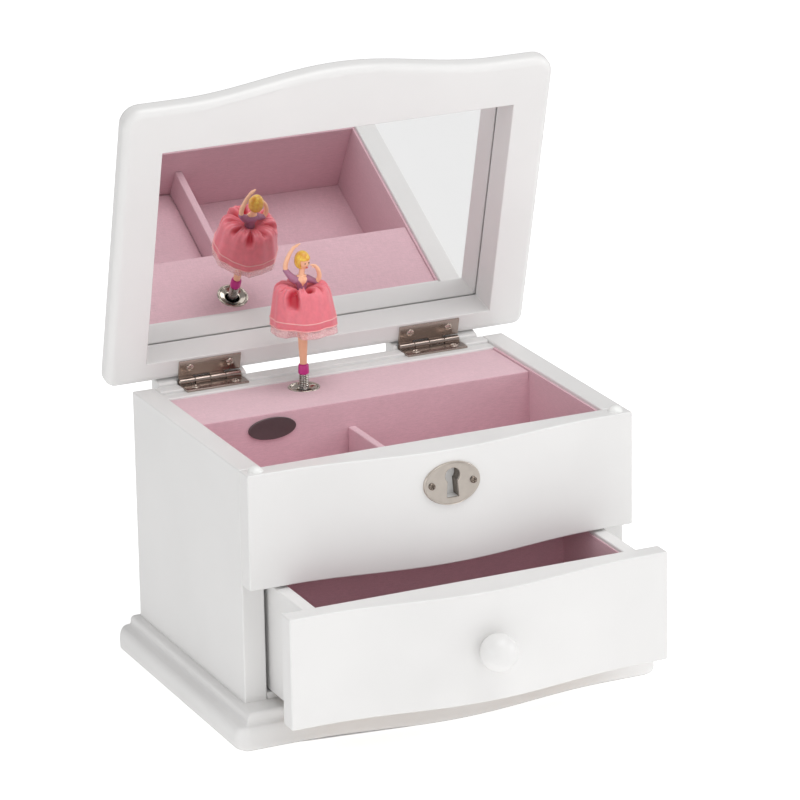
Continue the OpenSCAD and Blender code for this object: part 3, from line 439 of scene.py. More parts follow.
def stand_in(name, shape, finish, node, smooth=40, modifiers=()):
    """Makes a shape the piece that stands for one solid, on its body."""
    return finished(name, shape, finish, body_of(node), (node,), smooth, modifiers)


def lid_tilt():
    """How far the lid stands open, from the slope of its mirror."""
    glass = frame["nodes"]["mirror_glass"].data
    face = max(glass.polygons, key=lambda f: f.area)
    return math.atan2(abs(face.normal.y), abs(face.normal.z))


def merged(node):
    """A copy of a solid's mesh with the corners of its loose triangles joined."""
    shape = bmesh.new()
    shape.from_mesh(frame["nodes"][node].data)
    bmesh.ops.remove_doubles(shape, verts=shape.verts, dist=SAME_CORNER)
    return shape


def eased(node, finish, width, segments=3, keep=lambda at: False):
    """A piece that stands for a solid, with its sharp edges rounded over except where keep is true."""
    flat, sharp = math.radians(0.4), math.radians(32)
    shape = merged(node)
    bmesh.ops.dissolve_limit(shape, angle_limit=flat, verts=shape.verts, edges=shape.edges)
    edges = [e for e in shape.edges if e.is_manifold and e.calc_face_angle() > sharp
             and not all(keep(v.co) for v in e.verts)]
    bmesh.ops.bevel(shape, geom=edges, offset=width, offset_type="OFFSET", segments=segments, profile=0.5,
                    affect="EDGES", material=-1, clamp_overlap=False, loop_slide=True)
    bmesh.ops.remove_doubles(shape, verts=shape.verts, dist=SAME_CORNER)
    weighted = ("WEIGHTED_NORMAL", {"keep_sharp": True, "weight": 90})
    return stand_in(node + "_eased", shape, finish, node, modifiers=(weighted,))


def edges_at(verts):
    """The edges that meet at any of these vertices, each once and in the same order each run."""
    return list(dict.fromkeys(e for v in verts for e in v.link_edges))


def next_ring(shape, edges):
    """Extrudes a ring of edges and returns the vertices and the edges of the new one."""
    made = bmesh.ops.extrude_edge_only(shape, edges=edges)["geom"]
    verts = [g for g in made if isinstance(g, bmesh.types.BMVert)]
    inside = set(verts)
    return verts, [g for g in made if isinstance(g, bmesh.types.BMEdge) and set(g.verts) <= inside]


def turned(profile, centre=(0, 0, 0), tilt=0.0, steps=64):
    """A shape turned on a lathe from (radius, height) points, tilted back about X and set on centre."""
    shape = bmesh.new()
    points = [shape.verts.new((radius, 0, height)) for radius, height in profile]
    edges = [shape.edges.new(pair) for pair in zip(points, points[1:])]
    bmesh.ops.spin(shape, geom=points + edges, cent=(0, 0, 0), axis=(0, 0, 1), angle=FULL_TURN, steps=steps,
                   use_merge=True, use_duplicate=False)
    bmesh.ops.remove_doubles(shape, verts=shape.verts, dist=SAME_POINT)
    bmesh.ops.recalc_face_normals(shape, faces=shape.faces)
    shape.transform(Matrix.Translation(centre) @ Matrix.Rotation(tilt, 4, "X"))
    return shape


def smooth_path(points, count):
    """Points along a Catmull-Rom curve through the given ones."""
    points = [Vector(p) for p in points]
    ends = [2 * points[0] - points[1], *points, 2 * points[-1] - points[-2]]
    path = []
    for i in range(count + 1):
        at = i / count * (len(points) - 1)
        k = min(int(at), len(points) - 2)
        t = at - k
        a, b, c, d = ends[k:k + 4]
        path.append(0.5 * (2 * b + (c - a) * t + (2 * a - 5 * b + 4 * c - d) * t * t
                           + (3 * b - a - 3 * c + d) * t ** 3))
    return path


def limb(shape, points, radii, count=14, sides=14, flat=1.0):
    """Adds a rounded tube along a smooth curve, its radius changing with it; flat thins it in depth."""
    path = smooth_path(points, count)
    sizes = [p.x for p in smooth_path([(r, 0, 0) for r in radii], count)]
    cap_steps = 3
    leans = [(k + 0.5) / cap_steps * QUARTER_TURN for k in range(cap_steps)]
    # (place along the path, how far past it and how wide in shares of the radius) of each ring
    rings = [(0, -math.cos(lean), math.sin(lean)) for lean in leans]
    rings += [(i, 0, 1) for i in range(count + 1)]
    rings += [(count, math.cos(lean), math.sin(lean)) for lean in reversed(leans)]
    ring = bmesh.ops.create_circle(shape, segments=sides, radius=1, cap_ends=False)["verts"]
    edges = edges_at(ring)
    ahead = [(path[min(i + 1, count)] - path[max(i - 1, 0)]).normalized() for i in range(count + 1)]
    turns = [ahead[0].to_track_quat("Z", "Y")]
    for before, after in zip(ahead, ahead[1:]):
        turns.append(before.rotation_difference(after) @ turns[-1])
    for number, (i, along, wide) in enumerate(rings):
        place = Matrix.Translation(path[i] + ahead[i] * along * sizes[i])
        turn = turns[i].to_matrix().to_4x4()
        size = sizes[i] * wide
        target = place @ turn @ Matrix.Diagonal((size, size * flat, size, 1))
        if number:
            ring, edges = next_ring(shape, edges)
            bmesh.ops.transform(shape, matrix=target @ last.inverted(), verts=ring)
        else:
            bmesh.ops.transform(shape, matrix=target, verts=ring)
            bmesh.ops.contextual_create(shape, geom=edges)
        last = target
    bmesh.ops.contextual_create(shape, geom=edges)


def ball(shape, centre, radii, segments=24, rings=16, turn=0.0):
    """Adds an egg-shaped ball, turned about the vertical, and returns its vertices."""
    made = bmesh.ops.create_uvsphere(shape, u_segments=segments, v_segments=rings, radius=1)["verts"]
    place = Matrix.Translation(centre) @ Matrix.Rotation(turn, 4, "Z") @ Matrix.Diagonal((*radii, 1))
    bmesh.ops.transform(shape, matrix=place, verts=made)
    return made


def islands(node):
    """The corners of each separate part of a solid, from left to right."""
    shape = merged(node)
    seen, found = set(), []
    for start in shape.verts:
        if start in seen:
            continue
        seen.add(start)
        part = [start]
        for vert in part:  # which grows as it is walked
            near = [v for v in (e.other_vert(vert) for e in vert.link_edges) if v not in seen]
            seen.update(near)
            part += near
        found.append(sorted(tuple(v.co) for v in part))
    shape.free()
    return [[Vector(place) for place in part] for part in sorted(found)]


def screw_head(shape, top, facing, radius, dome, turn=0.0):
    """Adds a domed head with a cross recess: top is the middle of its foot, facing points out of it."""
    # in shares of the radius: half the width of the recess's arms, how far they reach, how soft both end
    arm_wide, arm_soft, reach, reach_soft = 0.17, 0.05, 0.66, 0.1
    deep = dome * 0.55 + radius * 0.28
    made = bmesh.ops.create_grid(shape, x_segments=30, y_segments=30, size=1)["verts"]
    for vert in made:
        x, y = vert.co.x, vert.co.y
        u, v = x * math.sqrt(1 - y * y / 2), y * math.sqrt(1 - x * x / 2)
        out = math.hypot(u, v)
        height = dome * math.sqrt(max(1 - out ** 2.6, 0.0))
        arm, far = min(abs(u), abs(v)), max(abs(u), abs(v))
        cross = clamped((arm_wide - arm) / arm_soft) * clamped((reach - far) / reach_soft)
        vert.co = Vector((u * radius, v * radius, height - cross * deep))
    upright = Vector((0, 0, 1)).rotation_difference(facing).to_matrix().to_4x4()
    place = Matrix.Translation(top) @ upright @ Matrix.Rotation(turn, 4, "Z")
    bmesh.ops.transform(shape, matrix=place, verts=made)


def screws(node, finish, facing, radius, dome):
    """A piece that stands for a set of screws, with a crossed dome as tall as each plain head."""
    rim_depth = 0.15 * MM
    first_turn, next_turn = 0.5, 1.3
    shape = bmesh.new()
    shape.from_mesh(frame["nodes"][node].data)
    reach = max(v.co.dot(facing) for v in shape.verts)
    for vert in shape.verts:
        vert.co -= facing * max(vert.co.dot(facing) - (reach - dome - radius * 0.2), 0.0)
    bmesh.ops.dissolve_degenerate(shape, dist=SAME_POINT, edges=shape.edges)
    for number, points in enumerate(islands(node)):
        rim = [p for p in points if p.dot(facing) > reach - rim_depth]
        top = sum(rim, Vector()) / len(rim)
        top += facing * (reach - dome - top.dot(facing))
        screw_head(shape, top, facing, radius, dome, first_turn + next_turn * number)
    return stand_in(node + "_crossed", shape, finish, node)


# ---- Case, lid and drawer ----


class MUSICBOX_OT_woodwork(bpy.types.Operator):
    """Ease and lacquer the case, the lid and the drawer"""

    bl_idname = "musicbox.woodwork"
    bl_label = "Woodwork"

    def execute(self, context):
        finishes = context.scene.music_box_finishes
        paint = white_lacquer(finishes)
        low, high = corners("escutcheon")
        keyhole_back = low.y + 8 * MM
        base = corners("base_moulding")[1].z + 0.1 * MM

        def hidden(at):
            """Behind the base moulding, or at the keyhole."""
            return at.z < base or at.y < keyhole_back and in_outline(at, low, high)

        panels = ["side_panel_left", "side_panel_right", "front_panel", "back_panel", "hinge_rail",
                  "lid_stop_blocks", "drawer_front", "drawer_sides", "drawer_back"]
        for node in panels:
            piece = eased(node, paint, finishes.wood_ease, keep=hidden)
            if node == "front_panel":
                self.keyhole(piece)
        outward = Vector((0, math.sin(lid_tilt()), math.cos(lid_tilt())))
        seat = min(outward.dot(v.co) for v in frame["nodes"]["lid_top_panel"].data.vertices) - 0.2 * MM
        leaf_low, leaf_high = corners("upper_hinge_leaves")

        def under(at):
            """Under the lid's top panel, or beside the hinges, where its screw holes are."""
            return outward.dot(at) > seat or at.z < leaf_high.z and leaf_low.x < at.x < leaf_high.x

        def seated(at):
            """Where the top panel meets the lid's frame."""
            return outward.dot(at) < seat + 0.4 * MM

        moulding_ease, board_ease = finishes.wood_ease * 0.7, 0.2 * MM
        eased("lid_frame", paint, moulding_ease, keep=under)
        eased("lid_top_panel", paint, moulding_ease, keep=seated)
        eased("base_moulding", paint, moulding_ease)
        board = bare_board()
        eased("bottom_panel", paint, board_ease, segments=1)
        for node in ("tray_floor", "movement_wall", "mirror_backing", "drawer_bottom"):
            eased(node, board, board_ease, segments=1)
        coat("base_felt", foot_felt())
        self.knob(paint)
        return {"FINISHED"}

    @staticmethod
    def keyhole(panel):
        """Paints shade on the walls of the keyhole that is cut into the front, where they face left."""
        low, high = corners("escutcheon")
        near, far = low.y + 1.2 * MM, low.y + 7 * MM
        wall_shade = Finish("keyhole_shade")
        fibre = wall_shade.noise(0.5 * MM, 3)
        wall_shade.surface(wall_shade.mix(fibre, tone(96, 90, 84), tone(132, 124, 116)), 0.7 + 0.2 * fibre)
        panel.data.materials.append(wall_shade.material)
        for face in panel.data.polygons:
            at = face.center
            # walls that face left get the painted shade
            if near < at.y < far and in_outline(at, low, high) and face.normal.x < -0.25:
                face.material_index = 1

    @staticmethod
    def knob(paint):
        """A ball on a short neck with a foot ring, turned in one piece."""
        low, high = corners("drawer_knob")
        radius = (high.x - low.x) / 2
        reach = high.y - low.y
        neck, foot = radius * 0.47, radius * 0.6
        centre = reach - radius
        start = math.asin(neck / radius)
        steps = 22
        arc = [math.pi - start - i * (math.pi - start) / steps for i in range(steps + 1)]
        profile = [(SAME_POINT, 0), (foot, 0), (foot, 0.9 * MM), (foot - 0.3 * MM, 1.35 * MM),
                   (neck + 0.2 * MM, 1.6 * MM)]
        profile += [(radius * math.sin(a), centre + radius * math.cos(a)) for a in arc]
        face = Vector((0, high.y, (low.z + high.z) / 2))
        stand_in("knob_turned", turned(profile, face, QUARTER_TURN), paint, "drawer_knob")


class MUSICBOX_OT_linings(bpy.types.Operator):
    """Cover the tray, the platform and the drawer with lining cloth"""

    bl_idname = "musicbox.linings"
    bl_label = "Linings"

    def execute(self, context):
        finishes = context.scene.music_box_finishes
        cloth = lining_cloth(finishes)
        top = corners("platform")[1].z - 0.1 * MM
        eased("platform", cloth, 0.5 * MM, keep=lambda at: at.z < top)
        eased("tray_divider", cloth, 0.5 * MM)
        for node in ("lining_sides", "lining_front", "lining_floor", "drawer_lining"):
            eased(node, cloth, 0.22 * MM, segments=2)
        coat("lining_back", cloth)
        self.cushion(cloth)
        return {"FINISHED"}

    @staticmethod
    def cushion(cloth):
        """The left compartment's raised floor: a covered board, crowned and soft at its edges."""
        low, high = corners("raised_floor")
        size = high - low
        crown, edge = 1.1 * MM, 2.2 * MM
        sag, fall = 0.35, 0.65  # shares of the crown that go gently all over and fast at the edges
        shape = bmesh.new()
        bmesh.ops.create_cube(shape, size=1)
        bmesh.ops.transform(shape, matrix=Matrix.Translation((low + high) / 2) @ Matrix.Diagonal((*size, 1)),
                            verts=shape.verts)
        bmesh.ops.subdivide_edges(shape, edges=shape.edges, cuts=24, use_grid_fill=True)
        square = 14  # how closely the fall at the edges follows the board's corners
        for vert in shape.verts:
            u = 2 * (vert.co.x - low.x) / size.x - 1
            v = 2 * (vert.co.y - low.y) / size.y - 1
            near = (abs(u) ** square + abs(v) ** square) ** (1 / square)
            drop = crown * (sag * (u * u + v * v) / 2 + fall * near ** 12)
            lift = (vert.co.z - low.z) / size.z
            vert.co.z -= drop * max(0.0, lift * 2 - 1)
        sharp = math.radians(51.6)
        top = [e for e in shape.edges if e.is_manifold and e.calc_face_angle() > sharp
               and all(v.co.z > high.z - edge for v in e.verts)]
        bmesh.ops.bevel(shape, geom=top, offset=0.8 * MM, offset_type="OFFSET", segments=3, profile=0.5,
                        affect="EDGES", material=-1)
        piece = stand_in("cushion", shape, cloth, "raised_floor")


class MUSICBOX_OT_fittings(bpy.types.Operator):
    """Finish the mirror, the hinges, the escutcheon and the other small metal"""

    bl_idname = "musicbox.fittings"
    bl_label = "Fittings"

    def execute(self, context):
        finishes = context.scene.music_box_finishes
        ease = finishes.metal_ease
        coat("mirror_glass", mirror_silver())
        self.escutcheon(metal("satin_nickel", finishes.escutcheon, rough=0.36, brushed=(9, 1, 1)))
        dark = metal("dark_nickel", finishes.hinge, rough=0.17, brushed=(6, 1, 1), mottle=0.02)
        for node in ("lower_hinge_leaves", "upper_hinge_leaves"):
            eased(node, dark, ease * 1.4, segments=2)
        bright = metal("screw_nickel", tone(190, 176, 166), rough=0.14)
        for node in ("mounting_screws", "hinge_pins", "knob_screw"):
            eased(node, bright, ease * 0.4, segments=1)
        rest = lid_tilt()
        inward = Vector((0, -math.sin(rest), -math.cos(rest)))
        screws("lower_hinge_screws", bright, Vector((0, 0, 1)), radius=1.62 * MM, dome=0.5 * MM)
        screws("upper_hinge_screws", bright, inward, radius=1.5 * MM, dome=0.45 * MM)
        pin = metal("pin_nickel", tone(140, 128, 118), rough=0.14)
        screws("escutcheon_pins", pin, Vector((0, -1, 0)), radius=1.2 * MM, dome=0.32 * MM)
        coat("rim_bumpers", clear_pad())
        plate = metal("plate_grey", tone(112, 106, 106), rough=0.42, brushed=(8, 1, 1))
        eased("name_plate", plate, ease * 1.5, segments=2)
        key = metal("key_nickel", tone(190, 184, 176), rough=0.26, brushed=(8, 1, 1))
        eased("winding_key", key, ease * 3)
        self.ring()
        return {"FINISHED"}

    @staticmethod
    def front_face(x):
        """How far forward the waved front stands at x."""
        half_width, depth = 62 * MM, 6.6 * MM
        wave = depth * (1 + math.cos(math.pi * x / half_width)) / 2
        return corners("front_panel")[0].y + depth - wave

    def escutcheon(self, finish):
        """A crowned oval plate with a rolled rim and a turned-in keyhole, bent to the waved front."""
        low, high = corners("escutcheon")
        half = Vector(((high.x - low.x) / 2, (high.z - low.z) / 2))
        centre = Vector(((low.x + high.x) / 2, (low.z + high.z) / 2))
        start = Vector((0, -0.02 * half.y))
        # the keyhole: a round eye over a slot that widens down to its foot
        eye, eye_r = Vector((0, 0.36 * half.y)), 0.26 * half.x
        waist, foot, foot_z = 0.16 * half.x, 0.22 * half.x, -0.66 * half.y

        def in_keyhole(p):
            if (p - eye).length < eye_r:
                return True
            share = (eye.y - p.y) / (eye.y - foot_z)
            return 0 <= share <= 1 and abs(p.x) < waist + (foot - waist) * share

        def in_oval(p):
            return (p.x / half.x) ** 2 + (p.y / half.y) ** 2 < 1

        def reach(heading, inside):
            near, far = 0.0, 2 * half.x
            while far - near > SAME_POINT:
                mid = (near + far) / 2
                near, far = (mid, far) if inside(start + heading * mid) else (near, mid)
            return start + heading * near

        # (share of the way from the keyhole to the rim, height over the wood in millimetres)
        section = ((0.0, 0.02), (0.0, 0.62), (0.01, 0.8), (0.035, 0.88), (0.1, 0.9), (0.35, 0.94),
                   (0.65, 0.94), (0.84, 0.9), (0.88, 0.84), (0.9, 0.83), (0.92, 0.9), (0.94, 0.95),
                   (0.965, 0.93), (0.985, 0.78), (0.997, 0.5), (1.0, 0.02))
        count = 144
        turns = [i * FULL_TURN / count for i in range(count)]
        headings = [Vector((math.cos(a), math.sin(a))) for a in turns]
        spokes = [(reach(heading, in_keyhole), reach(heading, in_oval)) for heading in headings]
        shape = bmesh.new()
        rings = []
        for share, height in section:
            flat = [centre + inner.lerp(outer, share) for inner, outer in spokes]
            bent = [(at.x, self.front_face(at.x) - height * MM, at.y) for at in flat]
            rings.append([shape.verts.new(place) for place in bent])
        for inner, outer in zip(rings, rings[1:] + rings[:1]):
            for i in range(count):
                k = (i + 1) % count
                shape.faces.new((inner[i], inner[k], outer[k], outer[i]))
        bmesh.ops.recalc_face_normals(shape, faces=shape.faces)
        stand_in("escutcheon_plate", shape, finish, "escutcheon", smooth=50)

    @staticmethod
    def ring():
        """The dished ring round the spindle, with a rolled rim and a short collar."""
        low, high = corners("spindle_ring")
        outer = (high.x - low.x) / 2
        face = high.z - low.z - 0.35 * MM
        hole, rim, steps = 2.7 * MM, 0.5 * MM, 8
        profile = [(hole, 0), (hole, face - 1.0 * MM), (hole + 0.12 * MM, face - 0.85 * MM),
                   (3.4 * MM, face - 0.75 * MM), (3.7 * MM, face - 0.45 * MM), (4.5 * MM, face - 0.35 * MM),
                   (outer - 1.1 * MM, face + 0.05 * MM)]
        for i in range(steps + 1):
            lean = math.pi - i * math.pi / steps
            profile.append((outer - rim + rim * math.cos(lean), face - 0.15 * MM + rim * math.sin(lean)))
        profile += [(outer - 0.3 * MM, face - 0.4 * MM), (hole + 0.5 * MM, face - 1.3 * MM),
                    (hole + 0.5 * MM, 0)]
        shape = turned(profile + profile[:1], foot_of("spindle_ring"))
        nickel = metal("ring_nickel", tone(186, 176, 166), rough=0.14)
        stand_in("ring_dished", shape, nickel, "spindle_ring")


class MUSICBOX_OT_movement(bpy.types.Operator):
    """Finish the movement's castings, brass and steel"""

    bl_idname = "musicbox.movement"
    bl_label = "Movement"

    def execute(self, _context):
        zinc = metal("cast_zinc", tone(150, 150, 152), rough=0.55, mottle=0.12, grain=0.5 * MM)
        for node in ("bedplate", "barrel_bridge", "cylinder_bracket", "governor_bracket"):
            coat(node, zinc)
        steel = metal("hard_steel", tone(176, 178, 182), rough=0.25, brushed=(1, 1, 8))
        for node in ("comb", "winding_arbor", "cylinder_arbor", "fan_worm"):
            coat(node, steel)
        coat("mainspring", metal("blued_steel", tone(86, 98, 124), rough=0.3, brushed=(1, 8, 1)))
        brass = metal("plain_brass", tone(208, 176, 108), rough=0.24, brushed=(1, 1, 6))
        for node in ("spring_barrel", "tune_cylinder", "governor_wheel", "comb_screws"):
            coat(node, brass)
        return {"FINISHED"}


# ---- Dancer ----


def dancer_place():
    """The point under the dancer's sole, on the spindle's axis."""
    return foot_of("dancer_shoe")


def dancer_turn(facing):
    """Moves a shape drawn in millimetres at the origin, facing -Y, on to the spindle."""
    return Matrix.Translation(dancer_place()) @ Matrix.Rotation(facing, 4, "Z") @ Matrix.Scale(MM, 4)


def hump(across, up, middle, spread):
    """A soft bump's share of its height: 1 at its middle and near 0 past twice its spread."""
    return math.exp(-((across - middle[0]) / spread[0]) ** 2 - ((up - middle[1]) / spread[1]) ** 2)


class MUSICBOX_OT_spring(bpy.types.Operator):
    """Wind the spring that carries the dancer"""

    bl_idname = "musicbox.spring"
    bl_label = "Spring"

    def execute(self, context):
        wire = context.scene.music_box_dancer.wire
        under_cloth, into_shoe = 0.6 * MM, 0.2 * MM
        low = corners("platform")[1].z - under_cloth
        high = corners("dancer_shoe")[0].z + into_shoe
        coil, pitch = 1.5 * MM, wire * 1.14
        climb = high - low - wire
        turns = climb / pitch
        steps_in_turn = 20
        steps = int(turns * steps_in_turn)
        shape = bmesh.new()
        start = Matrix.Translation((coil, 0, 0)) @ Matrix.Rotation(QUARTER_TURN, 4, "X")
        section = bmesh.ops.create_circle(shape, segments=8, radius=wire / 2, matrix=start)["verts"]
        bmesh.ops.spin(shape, geom=section + edges_at(section), cent=(0, 0, 0), dvec=(0, 0, climb / steps),
                       axis=(0, 0, 1), angle=turns * FULL_TURN, steps=steps)
        bmesh.ops.holes_fill(shape, edges=[e for e in shape.edges if e.is_boundary], sides=0)
        bmesh.ops.recalc_face_normals(shape, faces=shape.faces)
        place = dancer_place()
        shape.transform(Matrix.Translation((place.x, place.y, low + wire / 2)))
        steel = metal("spring_nickel", tone(196, 190, 184), rough=0.18)
        piece = finished("spring_coil", shape, steel, None, ("dancer_spring",))
        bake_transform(piece)
        return {"FINISHED"}


class MUSICBOX_OT_figure(bpy.types.Operator):
    """Model the dancer: leg, body, arms, head and hair"""

    bl_idname = "musicbox.figure"
    bl_label = "Figure"

    def execute(self, context):
        finishes = context.scene.music_box_finishes
        dancer = context.scene.music_box_dancer
        self.place = dancer_turn(dancer.facing)
        skin = moulded("figure_skin", finishes.skin, rough=0.38)
        bodice = moulded("bodice_paint", finishes.bodice, rough=0.34, spread=0.16, size=0.8 * MM)
        self.body(skin, bodice)
        self.arms(skin, bodice)
        self.head(skin, hair_paint(finishes), dancer)
        ferrule = moulded("shoe_paint", finishes.ferrule, rough=0.3, spread=0.1)
        profile = [(0.0, 0), (1.75, 0), (1.95, 0.2), (2.02, 0.6), (1.93, 3.2), (1.75, 3.6), (1.35, 3.8),
                   (0.0, 3.85)]
        self.put("shoe", turned(profile), ferrule, slot_of("dancer_shoe"), ("dancer_shoe",))
        return {"FINISHED"}

    def put(self, name, shape, finish, slot=slot_of("dancer_figure"), nodes=()):
        """Sets a shape drawn in the dancer's own place on the spindle and makes it a piece."""
        shape.transform(self.place)
        bmesh.ops.recalc_face_normals(shape, faces=shape.faces)
        return finished(name, shape, finish, "dancer", nodes, smooth=60)

    @staticmethod
    def trunk(size, neckline):
        """The body from the hips to the neck, slim in depth; neckline dips the front's V under the skin."""
        outline = [(0, 24), (2.2, 24.3), (2.4, 27), (2.2, 30), (1.75, 32.2), (1.85, 33.6), (2.4, 35.2),
                   (2.55, 36.0), (2.3, 36.9), (1.5, 37.5), (0, 37.8)]
        neck_low, neck_tall, shoulder = 33.2, 3.2, 36.3
        shape = turned(outline, steps=48)
        upright = [e for e in shape.edges if abs(e.verts[0].co.z - e.verts[1].co.z) > 0.3]
        bmesh.ops.subdivide_edges(shape, edges=upright, cuts=5, use_grid_fill=True)
        for vert in shape.verts:
            around = math.atan2(vert.co.x, -vert.co.y)
            open_to = 0.8 * clamped((vert.co.z - neck_low) / neck_tall)
            dip = clamped((open_to - abs(around)) / 0.16) if neckline else 0
            broad = 1 + 0.14 * math.exp(-((vert.co.z - shoulder) / 0.9) ** 2)
            vert.co.x *= size * (1 - 0.16 * dip) * broad
            vert.co.y *= 0.76 * size * (1 - 0.16 * dip)
            if vert.co.y < 0:
                vert.co.y -= 0.45 * hump(abs(vert.co.x), vert.co.z, (0.95, 35.2), (0.7, 1.0))
        return shape

    def body(self, skin, bodice):
        """One leg with a calf and a knee, the skin at the neckline, and the bodice over it."""
        leg = bmesh.new()
        limb(leg, [(0, 0, 3.7), (0, 0, 6), (0, 0.1, 9.5), (0, 0, 13), (0, 0, 17), (0, 0, 21), (0, 0, 25)],
             [1.32, 1.38, 1.6, 1.75, 1.95, 2.1, 2.2], count=24, sides=24)
        self.put("leg", leg, skin, nodes=("dancer_figure",))
        self.put("bodice", self.trunk(1.0, True), bodice)
        chest = self.trunk(0.93, False)
        ball(chest, (0, -0.1, 37.3), (2.0, 1.35, 0.75))
        neck = [(0, 0.05, 36.9), (0.15, 0, 38.4), (0.4, -0.05, 40.4)]
        limb(chest, neck, [1.25, 1.05, 1.05], count=8, sides=20)
        self.put("chest", chest, skin)

    def arms(self, skin, bodice):
        """The right arm is raised over the head and the left hand is at the chin."""
        raised = [(-2.2, 0.1, 35.9), (-3.8, 0.6, 37.3), (-5.6, 1.3, 39.7), (-5.6, 0.9, 42.2),
                  (-4.4, 0.3, 45.7), (-2.8, -0.3, 48.4)]
        bent = [(2.3, 0, 36.0), (4.0, -0.2, 35.2), (5.6, -0.7, 34.3), (6.5, -1.2, 36.5), (5.9, -1.8, 39.3),
                (4.6, -2.2, 41.1)]
        sleeves = bmesh.new()
        limb(sleeves, raised[:3], [1.6, 1.35, 1.02], count=12, sides=18)
        limb(sleeves, bent[:3], [1.45, 1.2, 0.95], count=12, sides=18)
        self.put("sleeves", sleeves, bodice)
        bare = bmesh.new()
        limb(bare, raised[2:], [0.88, 0.88, 0.76, 0.6], count=18, sides=18)
        limb(bare, bent[2:], [0.86, 0.88, 0.78, 0.62], count=18, sides=18)
        for wrist, tip, thumb in (((-2.9, -0.3, 48.3), (-0.7, -0.8, 49.6), (-1.5, -1.0, 49.0)),
                                  ((4.7, -2.2, 41.05), (2.8, -2.9, 41.8), (3.2, -3.0, 40.9))):
            knuckle = (Vector(wrist) + Vector(tip)) / 2 + Vector((0, 0, 0.12))
            limb(bare, [wrist, knuckle, tip], [0.58, 0.7, 0.36], count=8, flat=0.66)
            ball_of_thumb = (Vector(wrist) + Vector(thumb)) / 2 + Vector((0, -0.15, 0))
            limb(bare, [wrist, ball_of_thumb, thumb], [0.32, 0.3, 0.2], count=6, sides=8)
        self.put("arms", bare, skin)

    def head(self, skin, hair, dancer):
        """An egg-shaped head with a plain doll's face, and a bobbed head of hair with a fringe."""
        size = dancer.head / MM
        centre = Vector((0.55, -0.1, 43.1))
        stand = self.place
        self.place = stand @ Matrix.Translation(centre) @ Matrix.Rotation(dancer.gaze, 4, "Z")
        # (height, middle, spread) of the nose, the eyes' hollows, the cheeks and the chin, across and up
        # the face in shares of half the head's height
        features = ((0.2, (0, -0.4), (0.15, 0.17)), (-0.07, (0.34, -0.22), (0.18, 0.14)),
                    (0.05, (0.42, -0.5), (0.22, 0.2)), (0.12, (0, -0.92), (0.28, 0.15)))
        face = bmesh.new()
        for vert in ball(face, (0, 0, 0), (1, 1, 1), segments=48, rings=36):
            x, y, z = vert.co
            narrow = 1 - 0.34 * max(0.0, -z - 0.15) ** 1.2
            front = max(0.0, -y)
            out = sum(height * hump(abs(x), z, middle, spread) * front for height, middle, spread in features)
            vert.co = Vector((x * narrow * 0.7, y * (0.74 - 0.06 * max(0.0, -z)) - out, z)) * size
        self.put("head", face, skin)
        self.face(size)
        cap = bmesh.new()
        for vert in ball(cap, (0, 0, 0), (1, 1, 1), segments=96, rings=72):
            x, y, z = vert.co
            around = math.atan2(x, -y)
            lock = 0.025 * math.sin(9 * around + 3 * z) * (1 - abs(z))
            # 1 where the face shows, under the fringe and between the side locks
            bare = clamped((1.15 - abs(around)) / 0.22) * clamped((0.1 - z) / 0.16)
            flare = 0.14 * max(0.0, -z) * (1 - bare)
            out = (1.1 + lock + flare) * (1 - 0.36 * bare)
            low = z * (1 - 0.25 * bare) if bare else max(z, -0.8)
            vert.co = Vector((x * out * 0.74, y * out * 0.8 + 0.04, low * 1.04 + 0.02)) * size
        self.put("hair", cap, hair)
        self.place = stand

    def face(self, size):
        """Painted eyes and lips, each a thin raised spot."""
        dark = moulded("eye_paint", tone(92, 58, 48), rough=0.3)
        spots = bmesh.new()
        for side in (-1, 1):
            ball(spots, Vector((side * 0.26, -0.67, -0.22)) * size, Vector((0.11, 0.04, 0.055)) * size,
                 segments=14, rings=8, turn=side * -0.35)
        self.put("eyes", spots, dark)
        lips = bmesh.new()
        for wide, out, up in ((0.15, 0.66, -0.66), (0.11, 0.65, -0.73)):
            ball(lips, Vector((0, -out, up)) * size, Vector((wide, 0.06, 0.04)) * size, segments=14, rings=8)
        self.put("lips", lips, moulded("lip_paint", tone(214, 84, 88), rough=0.3))


